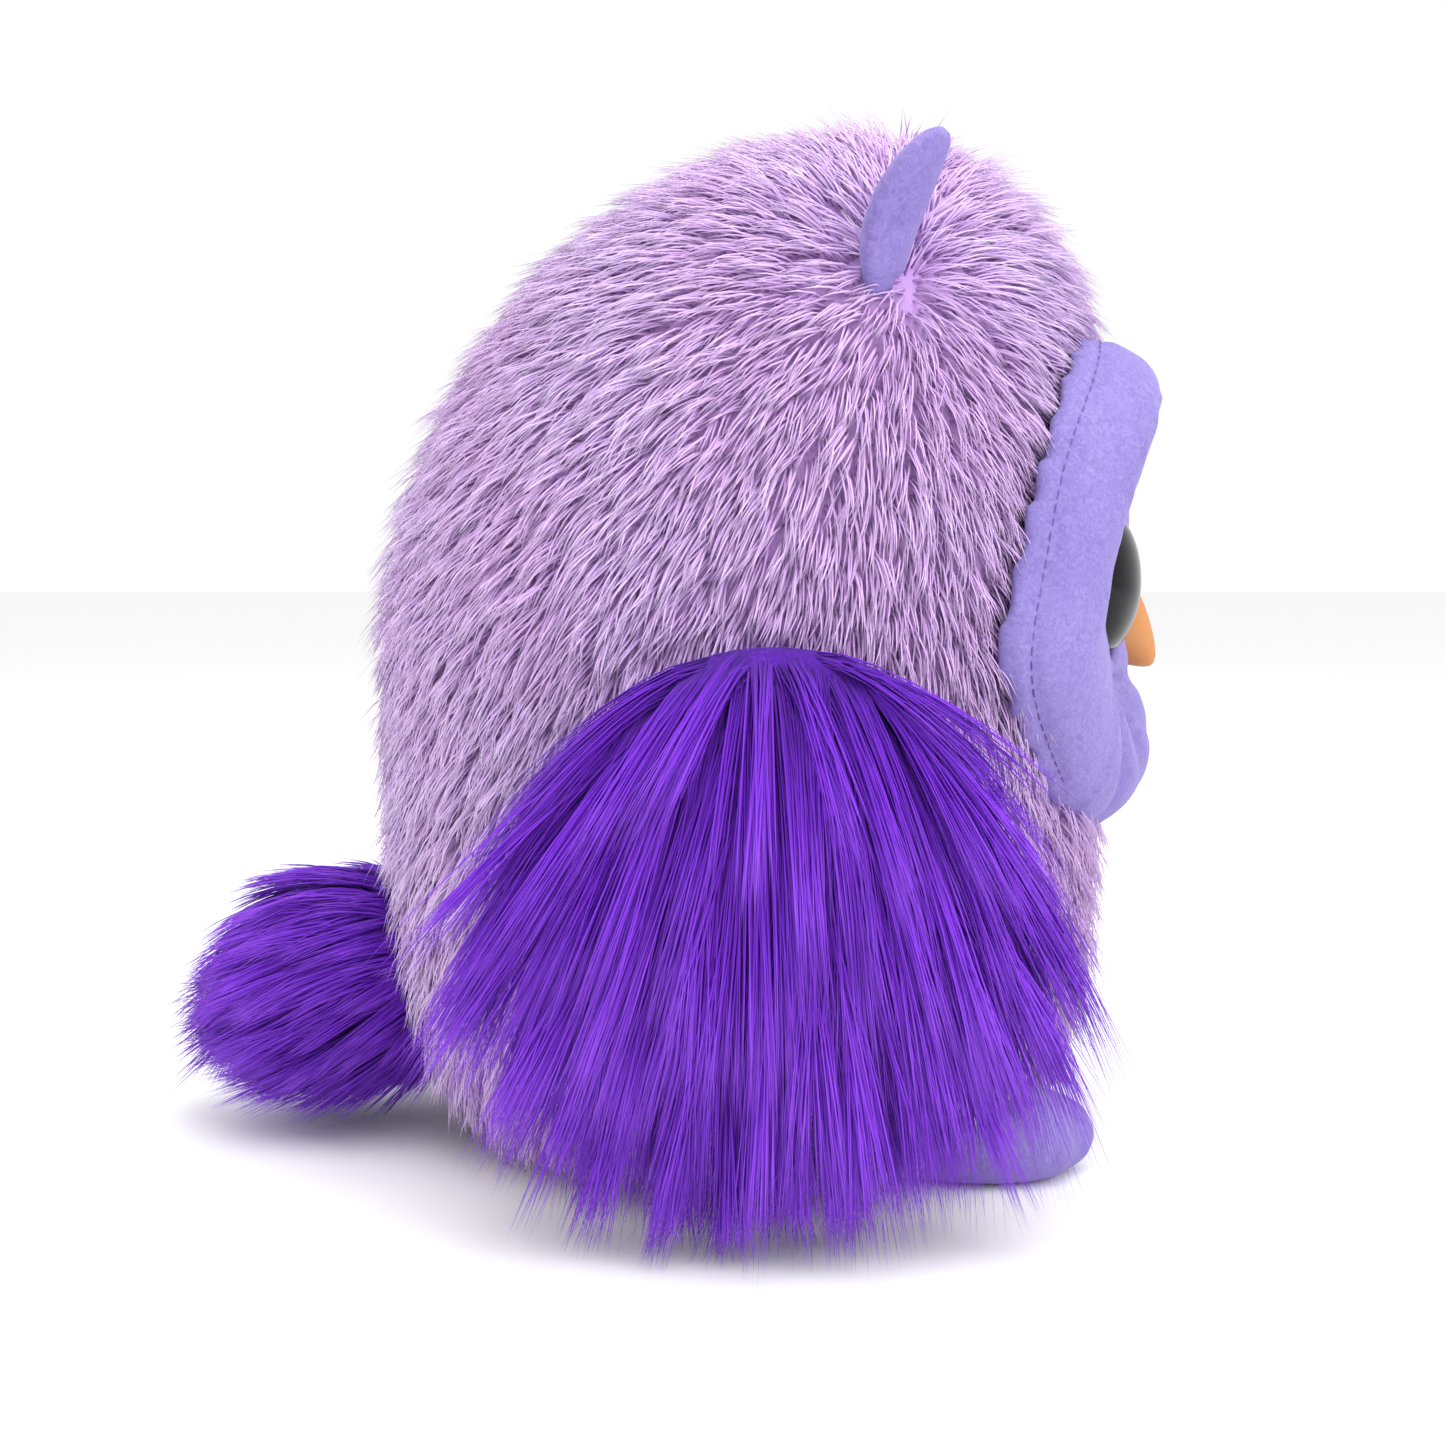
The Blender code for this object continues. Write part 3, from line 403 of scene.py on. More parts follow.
def comb_surface(mesh, comb_at, pile_at, cover_at):
    """Store the brushing direction, the pile's length and its thickness of cover on every point."""
    combs = [comb_at(vert.co) for vert in mesh.vertices]
    combs = [comb - 0.85 * comb.dot(vert.normal) * vert.normal for comb, vert in zip(combs, mesh.vertices)]
    piles = [pile_at(vert.co) for vert in mesh.vertices]
    covers = [cover_at(vert.co, vert.normal) for vert in mesh.vertices]
    for label, kind, key, values in (("comb", "FLOAT_VECTOR", "vector", combs),
                                     ("pile", "FLOAT", "value", piles),
                                     ("cover", "FLOAT", "value", covers)):
        attribute_data = mesh.attributes.new(label, kind, "POINT").data
        attribute_data.foreach_set(key, np.array(values, np.float32).ravel())


def smooth_step(low, high, value):
    share = min(max((value - low) / (high - low), 0.0), 1.0)
    return share * share * (3 - 2 * share)


def bell(value, centre, width):
    return math.exp(-((value - centre) / width) ** 2)


# %% [markdown]
# ## Fur as a Geometry Nodes tree
# Fur is thousands of like strands that follow a surface, which is what Geometry Nodes are for. The tree
# scatters roots over the surface, and fewer lock points. Each strand starts as a thin three-sided cone and is
# bent by a formula: it leaves along the surface's normal, turns to the comb direction, and its tip is drawn
# to its lock's tip, so that strands bunch as long pile does. Real meshes are used and not hair curves,
# because a finished piece has to stand on its own as a solid.

# %% Opening and closing a geometry tree
def open_tree(name, inputs):
    """A tree that takes geometry and the named numbers; gives all of them as wires."""
    tree = bpy.data.node_groups.new(name, "GeometryNodeTree")
    tree.interface.new_socket("Geometry", in_out="INPUT", socket_type="NodeSocketGeometry")
    for label, value in inputs.items():
        kind = "NodeSocketInt" if isinstance(value, int) else "NodeSocketFloat"
        tree.interface.new_socket(label, in_out="INPUT", socket_type=kind).default_value = value
    tree.interface.new_socket("Geometry", in_out="OUTPUT", socket_type="NodeSocketGeometry")
    group = tree.nodes.new("NodeGroupInput")
    return {socket.name: Wire(tree, socket) for socket in group.outputs if socket.name}


def close_tree(geometry):
    ending = geometry.tree.nodes.new("NodeGroupOutput")
    geometry.tree.links.new(geometry.socket, ending.inputs[0])
    return geometry.tree


# %% The fur tree
FUR_SIZES = ("Roots per square metre", "Locks per square metre", "Length", "Lift", "Droop", "Thickness",
             "Bunching", "Lock spread", "Strand spread")
LOWEST_STRAND = 0.4 * MM


def fur_tree(name, segments, finish):
    """Every size is set for each piece when the tree runs."""
    given = open_tree(name, dict.fromkeys(FUR_SIZES, 0.0) | {"Seed": 0})
    start = given["Geometry"]

    def named(label, kind="FLOAT"):
        return start.made("GeometryNodeInputNamedAttribute", {"data_type": kind}, {"Name": label})

    def scatter(density, seed):
        node = start.made("GeometryNodeDistributePointsOnFaces", {"distribute_method": "RANDOM"},
                          {"Mesh": start, "Density": density * named("cover"), "Seed": seed})
        return node, node.output("Normal")

    def store(geometry, label, value, kind="FLOAT"):
        return start.made("GeometryNodeStoreNamedAttribute", {"data_type": kind, "domain": "POINT"},
                          {"Geometry": geometry, "Name": label, "Value": value})

    def random(low, high, seed, kind="FLOAT", number=None):
        vector = kind == "FLOAT_VECTOR"
        values = {0 if vector else 2: low, 1 if vector else 3: high, "Seed": seed}
        if number is not None:
            values["ID"] = number
        return start.made("FunctionNodeRandomValue", {"data_type": kind}, values, out=0 if vector else 1)

    def unit(vector):
        return start.made("ShaderNodeVectorMath", {"operation": "NORMALIZE"}, {0: vector})

    seed = given["Seed"]
    position = start.made("GeometryNodeInputPosition")
    locks, lock_normal = scatter(given["Locks per square metre"], seed + 50)
    locks = store(locks, "facing", lock_normal, "FLOAT_VECTOR")
    roots, normal = scatter(given["Roots per square metre"], seed)
    nearest = start.made("GeometryNodeSampleNearest", {"domain": "POINT"},
                         {"Geometry": locks, "Sample Position": position})

    def from_lock(value):
        return start.made("GeometryNodeSampleIndex", {"data_type": "FLOAT_VECTOR", "domain": "POINT"},
                          {"Geometry": locks, "Value": value, "Index": nearest})

    roots = store(roots, "root", position, "FLOAT_VECTOR")
    roots = store(roots, "facing", normal, "FLOAT_VECTOR")
    roots = store(roots, "lock_root", from_lock(position), "FLOAT_VECTOR")
    roots = store(roots, "lock_facing", from_lock(named("facing", "FLOAT_VECTOR")), "FLOAT_VECTOR")
    roots = store(roots, "lock_comb", from_lock(named("comb", "FLOAT_VECTOR")), "FLOAT_VECTOR")
    roots = store(roots, "lock_turn", random((-1, -1, -1), (1, 1, 1), seed + 3, "FLOAT_VECTOR", nearest),
                  "FLOAT_VECTOR")
    roots = store(roots, "lock", random(0.0, 1.0, seed + 4, number=nearest))
    roots = store(roots, "strand", random(0.0, 1.0, seed + 5))
    roots = store(roots, "strand_turn", random((-1, -1, -1), (1, 1, 1), seed + 6, "FLOAT_VECTOR"),
                  "FLOAT_VECTOR")

    cone = start.made("GeometryNodeMeshCone", {"fill_type": "NGON"},
                      {"Vertices": 3, "Side Segments": segments, "Fill Segments": 1, "Radius Top": 0.0,
                       "Radius Bottom": 1.0, "Depth": 1.0})
    cone = store(cone, "profile", position, "FLOAT_VECTOR")
    strands = start.made("GeometryNodeInstanceOnPoints", None, {"Points": roots, "Instance": cone})
    strands = start.made("GeometryNodeRealizeInstances", None, {"Geometry": strands})

    profile = start.made("ShaderNodeSeparateXYZ", None, {0: named("profile", "FLOAT_VECTOR")})
    ring_x, ring_y, along = (profile.output(axis) for axis in range(3))
    length = given["Length"] * named("pile") * (0.72 + 0.28 * named("strand") + 0.2 * named("lock"))
    comb = unit(named("lock_comb", "FLOAT_VECTOR") + named("lock_turn", "FLOAT_VECTOR") * given["Lock spread"]
                + named("strand_turn", "FLOAT_VECTOR") * given["Strand spread"])
    facing = named("facing", "FLOAT_VECTOR")
    start_point = start.made("ShaderNodeMix", {"data_type": "VECTOR"},
                             {0: given["Bunching"] * along ** 1.3, 4: named("root", "FLOAT_VECTOR"),
                              5: named("lock_root", "FLOAT_VECTOR")}, out=1)
    outwards = unit(facing + named("lock_facing", "FLOAT_VECTOR"))
    rise = outwards * (length * given["Lift"] * along * (1 - 0.5 * along))
    sweep = comb * (length * along * (0.55 + 0.45 * along))
    sag = given["Droop"] * length * along * along * -1
    fall = start.made("ShaderNodeCombineXYZ", None, {"Z": sag})
    across = unit(start.made("ShaderNodeVectorMath", {"operation": "CROSS_PRODUCT"}, {0: outwards, 1: comb}))
    width = given["Thickness"] * (1.04 - along) ** -0.45
    ring = across * (ring_x * width) + outwards * (ring_y * width * 0.55)
    place = start.made("ShaderNodeSeparateXYZ", None, {0: start_point + rise + sweep + fall + ring})
    height = place.output(2).sum_with(LOWEST_STRAND, "MAXIMUM")
    place = start.made("ShaderNodeCombineXYZ", None, {"X": place, "Y": place.output(1), "Z": height})
    strands = start.made("GeometryNodeSetPosition", None, {"Geometry": strands, "Position": place})
    strands = store(strands, "along", along)
    strands = start.made("GeometryNodeSetShadeSmooth", None, {"Geometry": strands, "Shade Smooth": True})
    return close_tree(start.made("GeometryNodeSetMaterial", None, {"Geometry": strands, "Material": finish}))


SPARE_ATTRIBUTES = {"comb", "pile", "cover", "root", "lock_root", "lock_facing", "lock_comb",
                    "lock_turn", "strand_turn", "profile"}


def grow(name, surface, tree, **settings):
    """Run the fur tree on a surface and keep the result as a plain mesh that holds only the attributes its
    finish reads.
    """
    modifier = surface.modifiers.new("fur", "NODES")
    modifier.node_group = tree
    for item in tree.interface.items_tree:
        if item.item_type == "SOCKET" and item.in_out == "INPUT" and item.name in settings:
            modifier[item.identifier] = settings[item.name]
    mesh = evaluated_mesh(surface)
    surface.modifiers.remove(modifier)
    for label in [a.name for a in mesh.attributes if a.name in SPARE_ATTRIBUTES]:
        mesh.attributes.remove(mesh.attributes[label])
    mesh.name = name
    print(name, len(mesh.polygons), "faces")
    return put_in_scene(name, mesh)


def split_surface(mesh, sector_of):
    """Copies of a surface that each keep the faces of one sector, for pieces of a workable size."""
    parts = {}
    for sector in sorted({sector_of(face.center) for face in mesh.polygons}):
        bm = bmesh.new()
        bm.from_mesh(mesh)
        spare = [face for face in bm.faces if sector_of(face.calc_center_median()) != sector]
        bmesh.ops.delete(bm, geom=spare, context="FACES")
        part = bpy.data.meshes.new(f"{mesh.name}_{sector}")
        bm.to_mesh(part)
        bm.free()
        parts[sector] = part
    return parts


def fur_pieces(stem, mesh, sector_of, tree, body, slot, **settings):
    """One piece of fur for each sector of a surface, each with its own seed."""
    for sector, part in split_surface(mesh, sector_of).items():
        surface = put_in_scene("surface", part)
        piece = grow(f"{stem}_{sector}", surface, tree, Seed=11 + 7 * sector, **settings)
        bpy.data.objects.remove(surface)
        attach(piece, body)


# %% [markdown]
# ## The body
# The body's skin is an egg whose head end leans forward, as on the fixed model. The model's egg is the
# outside of the pile, so the backing cloth lies one pile height inside it. The same few numbers that drive
# the model's egg are read back from its box, so both stay one shape.

# %% Body shape
BODY_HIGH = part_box("body_skin")[1]
BODY_RADIUS = BODY_HIGH[0]
BODY_HEIGHT = BODY_HIGH[2]
BELLY_Z = 0.437 * BODY_HEIGHT          # the widest place
UNDERSIDE_DEPTH = 125 * MM             # how far below it the egg would close to a point
UNDERSIDE_Z = 1.5 * MM
LEAN_FROM = 125 * MM
PILE_DEPTH = 5.5 * MM


def body_radius(z, inset=0.0):
    widest = BODY_RADIUS - inset
    if z >= BELLY_Z:
        rise = min((z - BELLY_Z) / (BODY_HEIGHT - inset - BELLY_Z), 1.0)
        return widest * (1 - rise ** 2.6) ** (1 / 2.1)
    drop = (BELLY_Z - z) / UNDERSIDE_DEPTH
    return widest * math.sqrt(1 - drop ** 4)


def body_lean(z):
    """How far the head end is shifted forward at a height."""
    return -27 * MM * max(0.0, (z - LEAN_FROM) / (120 * MM)) ** 1.5


def body_front(x, z, inset=0.0):
    """Y of the body's front at a place across and up."""
    return body_lean(z) - math.sqrt(max(body_radius(z, inset) ** 2 - x * x, 0.0))


def body_mesh(name, inset, segments=72, ring_count=56):
    rings = [[(0, 0, UNDERSIDE_Z)]]
    top = BODY_HEIGHT - inset
    for k in range(ring_count):
        z = UNDERSIDE_Z + (top - UNDERSIDE_Z) * (1 - math.cos(math.pi * k / ring_count)) / 2
        radius = body_radius(z, inset)
        angles = [math.tau * i / segments for i in range(segments)]
        rings.append([(radius * math.cos(a), body_lean(z) + radius * math.sin(a), z) for a in angles])
    rings.append([(0, body_lean(top), top)])
    return grid_mesh(name, rings)


# %% [markdown]
# The pile is brushed away from the ears, over the back and down the sides, and towards the face in front.
# It is pressed flat and short under the wings, the face and the feet, where cloth covers it.

# %% Brushing of the body
WING_LOW, WING_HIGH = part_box("wing_left")
FACE_LOW, FACE_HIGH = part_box("face_pad")
WHORL = (66 * MM, -34 * MM, 203 * MM)  # under an ear, where the pile parts


def body_comb(point):
    side = math.tanh(point.x / (14 * MM))
    whorl = Vector((WHORL[0] * side, WHORL[1], WHORL[2]))
    away = (point - whorl).normalized()
    near = 1 - smooth_step(0.0, 60 * MM, (point - whorl).length)
    pull = Vector((0, 0.25, -0.75 - 0.9 * smooth_step(180 * MM, 60 * MM, point.z)))
    pull.y -= 0.7 * smooth_step(-30 * MM, -75 * MM, point.y) * smooth_step(90 * MM, 130 * MM, point.z)
    return (away * (0.8 + near) + pull).normalized()


def body_pile(point):
    under_face = abs(point.x) < 52 * MM and point.y < -50 * MM
    covered = smooth_step(FACE_LOW[2] + 6 * MM, FACE_LOW[2] + 14 * MM, point.z)
    covered *= smooth_step(FACE_HIGH[2] - 2 * MM, FACE_HIGH[2] - 12 * MM, point.z) * under_face
    behind_wing = smooth_step(66 * MM, 80 * MM, abs(point.x)) * smooth_step(112 * MM, 98 * MM, point.z)
    low = smooth_step(4 * MM, 14 * MM, point.z)
    return (0.35 + 0.65 * low) * (1 - 0.75 * covered) * (1 - 0.5 * behind_wing)


def body_cover(point, normal):
    if normal.z < -0.8 or point.z < 3 * MM:
        return 0.0
    return 1.0 if body_pile(point) > 0.6 else 0.45


body = link_mesh("body_backing", body_mesh("body_backing", PILE_DEPTH), BACKING)
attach(body, "root")
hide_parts("body_skin")
comb_surface(body.data, body_comb, body_pile, body_cover)
print("body backing", len(body.data.polygons), "faces")

# %% Body fur
PLUSH_TREE = fur_tree("plush_pile", 3, FROSTED)


def sixth(point):
    return int((math.atan2(point.y, point.x) + math.pi) / (math.pi / 3)) % 6 + 1


fur_pieces("body_pile", body.data, sixth, PLUSH_TREE, "root", "plush", **{
    "Roots per square metre": 480000.0, "Locks per square metre": 75000.0, "Length": 12 * MM, "Lift": 0.8,
    "Droop": 0.0, "Thickness": 0.42 * MM, "Bunching": 0.5, "Lock spread": 0.24, "Strand spread": 0.16})

# %% [markdown]
# ## The face
# The face is a velour pillow in the shape of a broad heart. A stuffed roll runs round its brow and cheeks,
# the eyes sit in the hollow inside the roll, and the cheeks run down into a pouch under the beak. The pillow
# starts as a plain formula. Cloth simulation then blows it up while its back edge, the eyes and the beak hold
# the cloth down, which gives the soft swelling between the points where it is sewn.

# %% Face shape
FACE_Z = 134 * MM
FACE_HALF = (66 * MM, 66 * MM)
EYE_X, EYE_Z = 31 * MM, 137 * MM
SEWN_AT_BEAK_Z = 124 * MM
CHEEK = (43 * MM, 116 * MM)            # where the pleats of the pouch start, under each cheek
PLEATS = (4, 24, 43, 66)               # degrees below level, seen from there


def face_outline(angle):
    across = math.copysign(abs(math.cos(angle)) ** 0.85, math.cos(angle))
    up = math.copysign(abs(math.sin(angle)) ** 0.85, math.sin(angle))
    dip = 9 * MM * math.exp(-(across / 0.3) ** 2) if up > 0 else 0.0
    cheek = 1 + 0.12 * bell(up, -0.28, 0.4)
    return FACE_HALF[0] * across * cheek, FACE_HALF[1] * up * (1.0 if up > 0 else 0.91) - dip


def face_front(x, z, rim):
    """Y of the pillow's front before it is blown up; rim runs from 0 in the middle to 1 at the edge."""
    flat = -90 * MM + 4.2 * x * x
    upper = smooth_step(100 * MM, 172 * MM, z)
    roll = -10.5 * MM * bell(rim, 0.85, 0.13) * (0.30 + 0.70 * upper)
    brow = -3.5 * MM * bell(abs(x), 40 * MM, 20 * MM) * bell(z, 178 * MM, 18 * MM)
    pouch = -9.5 * MM * bell(x, 0, 30 * MM) * bell(z, 97 * MM, 17 * MM)
    bridge = -2.5 * MM * bell(x, 0, 11 * MM) * bell(z, 146 * MM, 22 * MM)
    edge = 13 * MM * (1 - math.sqrt(max(0.0, 1 - rim ** 7)))
    padding = 3.0 * MM * (1 - rim ** 7)
    return min(flat, body_front(x, z) - padding) + roll + brow + pouch + bridge + edge


def face_mesh(segments=72):
    rims = [0.0, 0.12, 0.24, 0.36, 0.48, 0.58, 0.67, 0.75, 0.82, 0.88, 0.93, 0.97, 1.0]
    rings = []
    for rim in rims:
        ring = []
        for i in range(segments if rim else 1):
            x, z = face_outline(math.tau * i / segments)
            x, z = x * rim, FACE_Z + z * rim
            ring.append((x, face_front(x, z, rim), z))
        rings.append(ring)
    for share in (0.25, 0.5, 0.75, 1.0):
        ring = []
        for x, y, z in rings[len(rims) - 1]:
            back = max(body_front(x * 0.97, z) - 1 * MM, y)
            ring.append((x * (1 - 0.03 * share), y + (back + 2 * MM - y) * share, z))
        rings.append(ring)
    for rim in (0.8, 0.5, 0.25):
        rings.append([(x * rim, body_front(x * rim, FACE_Z + (z - FACE_Z) * rim) - 0.6 * MM,
                       FACE_Z + (z - FACE_Z) * rim) for x, y, z in rings[len(rims) + 3]])
    rings.append([(0, body_front(0, FACE_Z) - 0.6 * MM, FACE_Z)])
    return grid_mesh("face_pillow", rings)


# %% [markdown]
# The cloth step is one function, because the ears and feet are blown up the same way. It remeshes the shape
# evenly, holds the points that are sewn, lets pressure push the rest out for twenty frames, and caps how far
# any point may go. Gravity is off, because the stuffing carries the cloth.

# %% Blow up a padded piece
FRAMES = 20
CLOTH_MASS = 0.001
STRETCH_STIFFNESS = 5
BEND_STIFFNESS = 0.05


def puff(piece, held, voxel=3.5 * MM, pressure=30.0, cap=5 * MM):
    """Cloth simulation with pressure; held gives 0 to 1 for how firmly a point is sewn down."""
    remesh = piece.modifiers.new("even", "REMESH")
    remesh.mode = "VOXEL"
    remesh.voxel_size = voxel
    even = evaluated_mesh(piece)
    piece.modifiers.remove(remesh)
    piece.data = even
    rest = np.array([vert.co[:] for vert in even.vertices])
    group = piece.vertex_groups.new(name="sewn")
    for index, place in enumerate(rest):
        group.add([index], held(Vector(place)), "REPLACE")
    cloth = piece.modifiers.new("cloth", "CLOTH")
    cloth.settings.vertex_group_mass = "sewn"
    cloth.settings.mass = CLOTH_MASS
    cloth.settings.use_pressure = True
    cloth.settings.uniform_pressure_force = pressure
    cloth.settings.tension_stiffness = STRETCH_STIFFNESS
    cloth.settings.compression_stiffness = STRETCH_STIFFNESS
    cloth.settings.bending_stiffness = BEND_STIFFNESS
    cloth.settings.effector_weights.gravity = 0.0
    cloth.point_cache.frame_end = FRAMES
    for frame_number in range(1, FRAMES + 1):
        bpy.context.scene.frame_set(frame_number)
    blown = piece.evaluated_get(bpy.context.evaluated_depsgraph_get()).to_mesh()
    moved = np.array([vert.co[:] for vert in blown.vertices]) - rest
    piece.modifiers.remove(cloth)
    piece.vertex_groups.remove(group)
    bpy.context.scene.frame_set(1)
    distance = np.linalg.norm(moved, axis=1, keepdims=True)
    moved *= np.minimum(1.0, cap / np.maximum(distance, 1e-9))
    even.vertices.foreach_set("co", (rest + moved).ravel())
    print(piece.name, "blown up by at most", round(float(distance.max()) * 1000, 1), "mm")
    subdivide(piece)


def subdivide(piece):
    smooth = piece.modifiers.new("smooth", "SUBSURF")
    smooth.levels = 1
    smooth.render_levels = 1
    fine = evaluated_mesh(piece)
    piece.modifiers.remove(smooth)
    fine.shade_smooth()
    piece.data = fine


def move_points(mesh, shift):
    """Move each vertex by shift(place, normal), then settle the normals again."""
    moves = [shift(vert.co.copy(), vert.normal.copy()) for vert in mesh.vertices]
    for vert, move in zip(mesh.vertices, moves):
        vert.co += move
    mesh.update()


def face_held(place):
    behind = smooth_step(-4 * MM, 1 * MM, place.y - body_front(place.x, place.z))
    for side in (-1, 1):
        gap = math.hypot(place.x - side * EYE_X, place.z - EYE_Z)
        behind = max(behind, 1 - smooth_step(15 * MM, 18 * MM, gap))
    beak_gap = math.hypot(place.x, place.z - SEWN_AT_BEAK_Z)
    return max(behind, 1 - smooth_step(7 * MM, 10 * MM, beak_gap))


def pleat(place, normal):
    """Folds of the pouch that fan out from under each cheek."""
    side = 1 if place.x > 0 else -1
    dx, dz = (CHEEK[0] - abs(place.x)), place.z - CHEEK[1]
    reach = math.hypot(dx, dz)
    if dx < 0 or dz > 0.4 * dx or place.y > -78 * MM:
        return Vector()
    angle = math.degrees(math.atan2(-dz, dx))
    ridge = sum(bell(angle, fold, 4.5) for fold in PLEATS) - 0.35
    strength = smooth_step(3 * MM, 12 * MM, reach) * smooth_step(52 * MM, 26 * MM, reach)
    return -normal * ridge * 1.7 * MM * strength


face = link_mesh("face_pillow", face_mesh(), VELOUR)
puff(face, face_held, voxel=3.2 * MM, cap=3.5 * MM)
move_points(face.data, pleat)
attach(face, "root")
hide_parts("face_pad")
print("face", len(face.data.polygons), "faces")

# %% [markdown]
# ## The seam and its stitches
# The roll is sewn from a front panel and a side panel. Their seam shows on the side of the roll as a shallow
# groove with short dark stitches. The stitches repeat along a line, so a second Geometry Nodes tree makes
# them: it spaces points along a curve and puts one short thread on each, turned along the curve.

# %% Stitches along a line
STITCH_SIZES = {"Spacing": 3.2 * MM, "Stitch length": 2.4 * MM, "Thread radius": 0.22 * MM}


def stitch_tree():
    given = open_tree("stitches", STITCH_SIZES)
    line = given["Geometry"]
    points = line.made("GeometryNodeCurveToPoints", {"mode": "LENGTH"},
                       {"Curve": line, "Length": given["Spacing"]})
    turn = points.output("Rotation")
    thread = line.made("GeometryNodeMeshUVSphere", None, {"Segments": 6, "Rings": 4, "Radius": 1.0})
    size = line.made("ShaderNodeCombineXYZ", None, {"X": given["Thread radius"], "Y": given["Thread radius"],
                                                   "Z": given["Stitch length"] * 0.5})
    stitches = line.made("GeometryNodeInstanceOnPoints", None,
                         {"Points": points, "Instance": thread, "Rotation": turn, "Scale": size})
    stitches = line.made("GeometryNodeRealizeInstances", None, {"Geometry": stitches})
    return close_tree(line.made("GeometryNodeSetMaterial", None, {"Geometry": stitches, "Material": THREAD}))


STITCHES = stitch_tree()


def sew(name, line_points, body_name):
    """Stitches along a smooth line, as one plain mesh."""
    curve = bpy.data.curves.new(name, "CURVE")
    curve.dimensions = "3D"
    spline = curve.splines.new("POLY")
    spline.points.add(len(line_points) - 1)
    for target, place in zip(spline.points, line_points):
        target.co = (*place, 1.0)
    carrier = put_in_scene(name + "_line", curve)
    carrier.modifiers.new("stitches", "NODES").node_group = STITCHES
    mesh = evaluated_mesh(carrier)
    bpy.data.objects.remove(carrier)
    mesh.name = name
    piece = put_in_scene(name, mesh)
    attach(piece, body_name)
    print(name, len(mesh.polygons), "faces")


SEAM_START = math.radians(-42)
SEAM_SWEEP = math.radians(264)         # over the brow and both cheeks, open under the pouch


def face_seam_line(steps=220):
    """Points round the side of the roll, dropped onto the pillow, each with the surface's normal."""
    surface = BVHTree.FromObject(face, bpy.context.evaluated_depsgraph_get())
    line = []
    for i in range(steps):
        angle = SEAM_START + SEAM_SWEEP * i / (steps - 1)
        x, z = face_outline(angle)
        z += FACE_Z
        depth = face_front(x, z, 1.0) - 5.5 * MM
        outside = Vector((x * 1.25, depth, FACE_Z + (z - FACE_Z) * 1.25))
        inwards = Vector((x * 0.4, depth, FACE_Z + (z - FACE_Z) * 0.4)) - outside
        hit, normal = surface.ray_cast(outside, inwards.normalized())[:2]
        if hit:
            line.append((hit, normal))
    return line


def groove(mesh, line, depth, width):
    """Press a shallow groove into a surface along a line."""
    keys = np.array([place[:] for place, _ in line])

    def shift(place, normal):
        nearest = float(np.min(np.linalg.norm(keys - np.array(place[:]), axis=1)))
        return -normal * depth * bell(nearest, 0.0, width)
    move_points(mesh, shift)


seam = face_seam_line()
groove(face.data, seam, 0.9 * MM, 1.6 * MM)
sew("face_stitches", [place - normal * 0.62 * MM for place, normal in seam], "root")

# %% [markdown]
# ## Eyes and beak
# The eyes are glossy domes, and the beak is a short cone that curves down. The fixed model has them with few
# faces. These are turned again with many, in the same seats, by spinning a profile about its own axis.

# %% Turned pieces
def turned_mesh(name, profile, place, segments=48, shift=None):
    rings = [[(0, 0, profile[0][1])]]
    for radius, height in profile[1:-1]:
        angles = [math.tau * i / segments for i in range(segments)]
        rings.append([(radius * math.cos(a), radius * math.sin(a), height) for a in angles])
    rings.append([(0, 0, profile[-1][1])])
    mesh = grid_mesh(name, rings)
    if shift:
        move_points(mesh, shift)
    mesh.transform(place)
    return mesh


def dome_profile(radius, height, depth, steps=18):
    rim = [(0, -depth), (radius * 0.9, -depth), (radius * 0.99, -0.4 * depth)]
    arc = [(radius * math.cos(math.pi / 2 * k / steps), height * math.sin(math.pi / 2 * k / steps))
           for k in range(steps)]
    return rim + arc + [(0, height)]


def eye_frame(side):
    low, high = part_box("eye_left")
    centre = Vector((side * (low.x + high.x) / 2, high.y, (low.z + high.z) / 2))
    outwards = Matrix.Rotation(side * math.radians(14), 4, "Z")
    return Matrix.Translation(centre) @ outwards @ Matrix.Rotation(math.pi / 2, 4, "X")


for word, side in SIDES:
    dome = turned_mesh(f"eye_dome_{word}", dome_profile(17 * MM, 9.5 * MM, 3 * MM), eye_frame(side))
    eye = link_mesh(f"eye_dome_{word}", dome, HARD["eye_black"])
    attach(eye, "root")
    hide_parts(f"eye_{word}")

BEAK_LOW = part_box("beak")[0]


def beak_bend(place, normal):
    """The tip droops with the square of how far out it is, and the beak is deeper than it is wide."""
    forward = max(0.0, place.z) / (11.5 * MM)
    return Vector((-0.12 * place.x, -10.5 * MM * forward ** 2 + 0.20 * place.y, 0))


beak_shape = [(0, -2 * MM), (8.5 * MM, -2 * MM), (9.6 * MM, -0.5 * MM), (9.8 * MM, 0.8 * MM)]
beak_shape += [(9.8 * MM * (1 - (k / 16) ** 1.9) ** 0.62, 0.8 * MM + 10.4 * MM * k / 16)
               for k in range(1, 16)]
beak_shape.append((0, 11.2 * MM))
beak_centre = Matrix.Translation((0, BEAK_LOW.y + 12.2 * MM, 128 * MM)) @ Matrix.Rotation(math.pi / 2, 4, "X")
beak = link_mesh("beak_cone", turned_mesh("beak_cone", beak_shape, beak_centre, shift=beak_bend),
                 HARD["beak_orange"])
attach(beak, "root")
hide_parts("beak")
print("beak reaches to", [round(c, 4) for c in beak.data.vertices[-1].co])

# %% [markdown]
# ## Ears and feet
# Each ear is a leaf of velour, sewn round its edge and folded a little at its root. Each foot is a small
# stuffed pad, flat underneath where it stands.

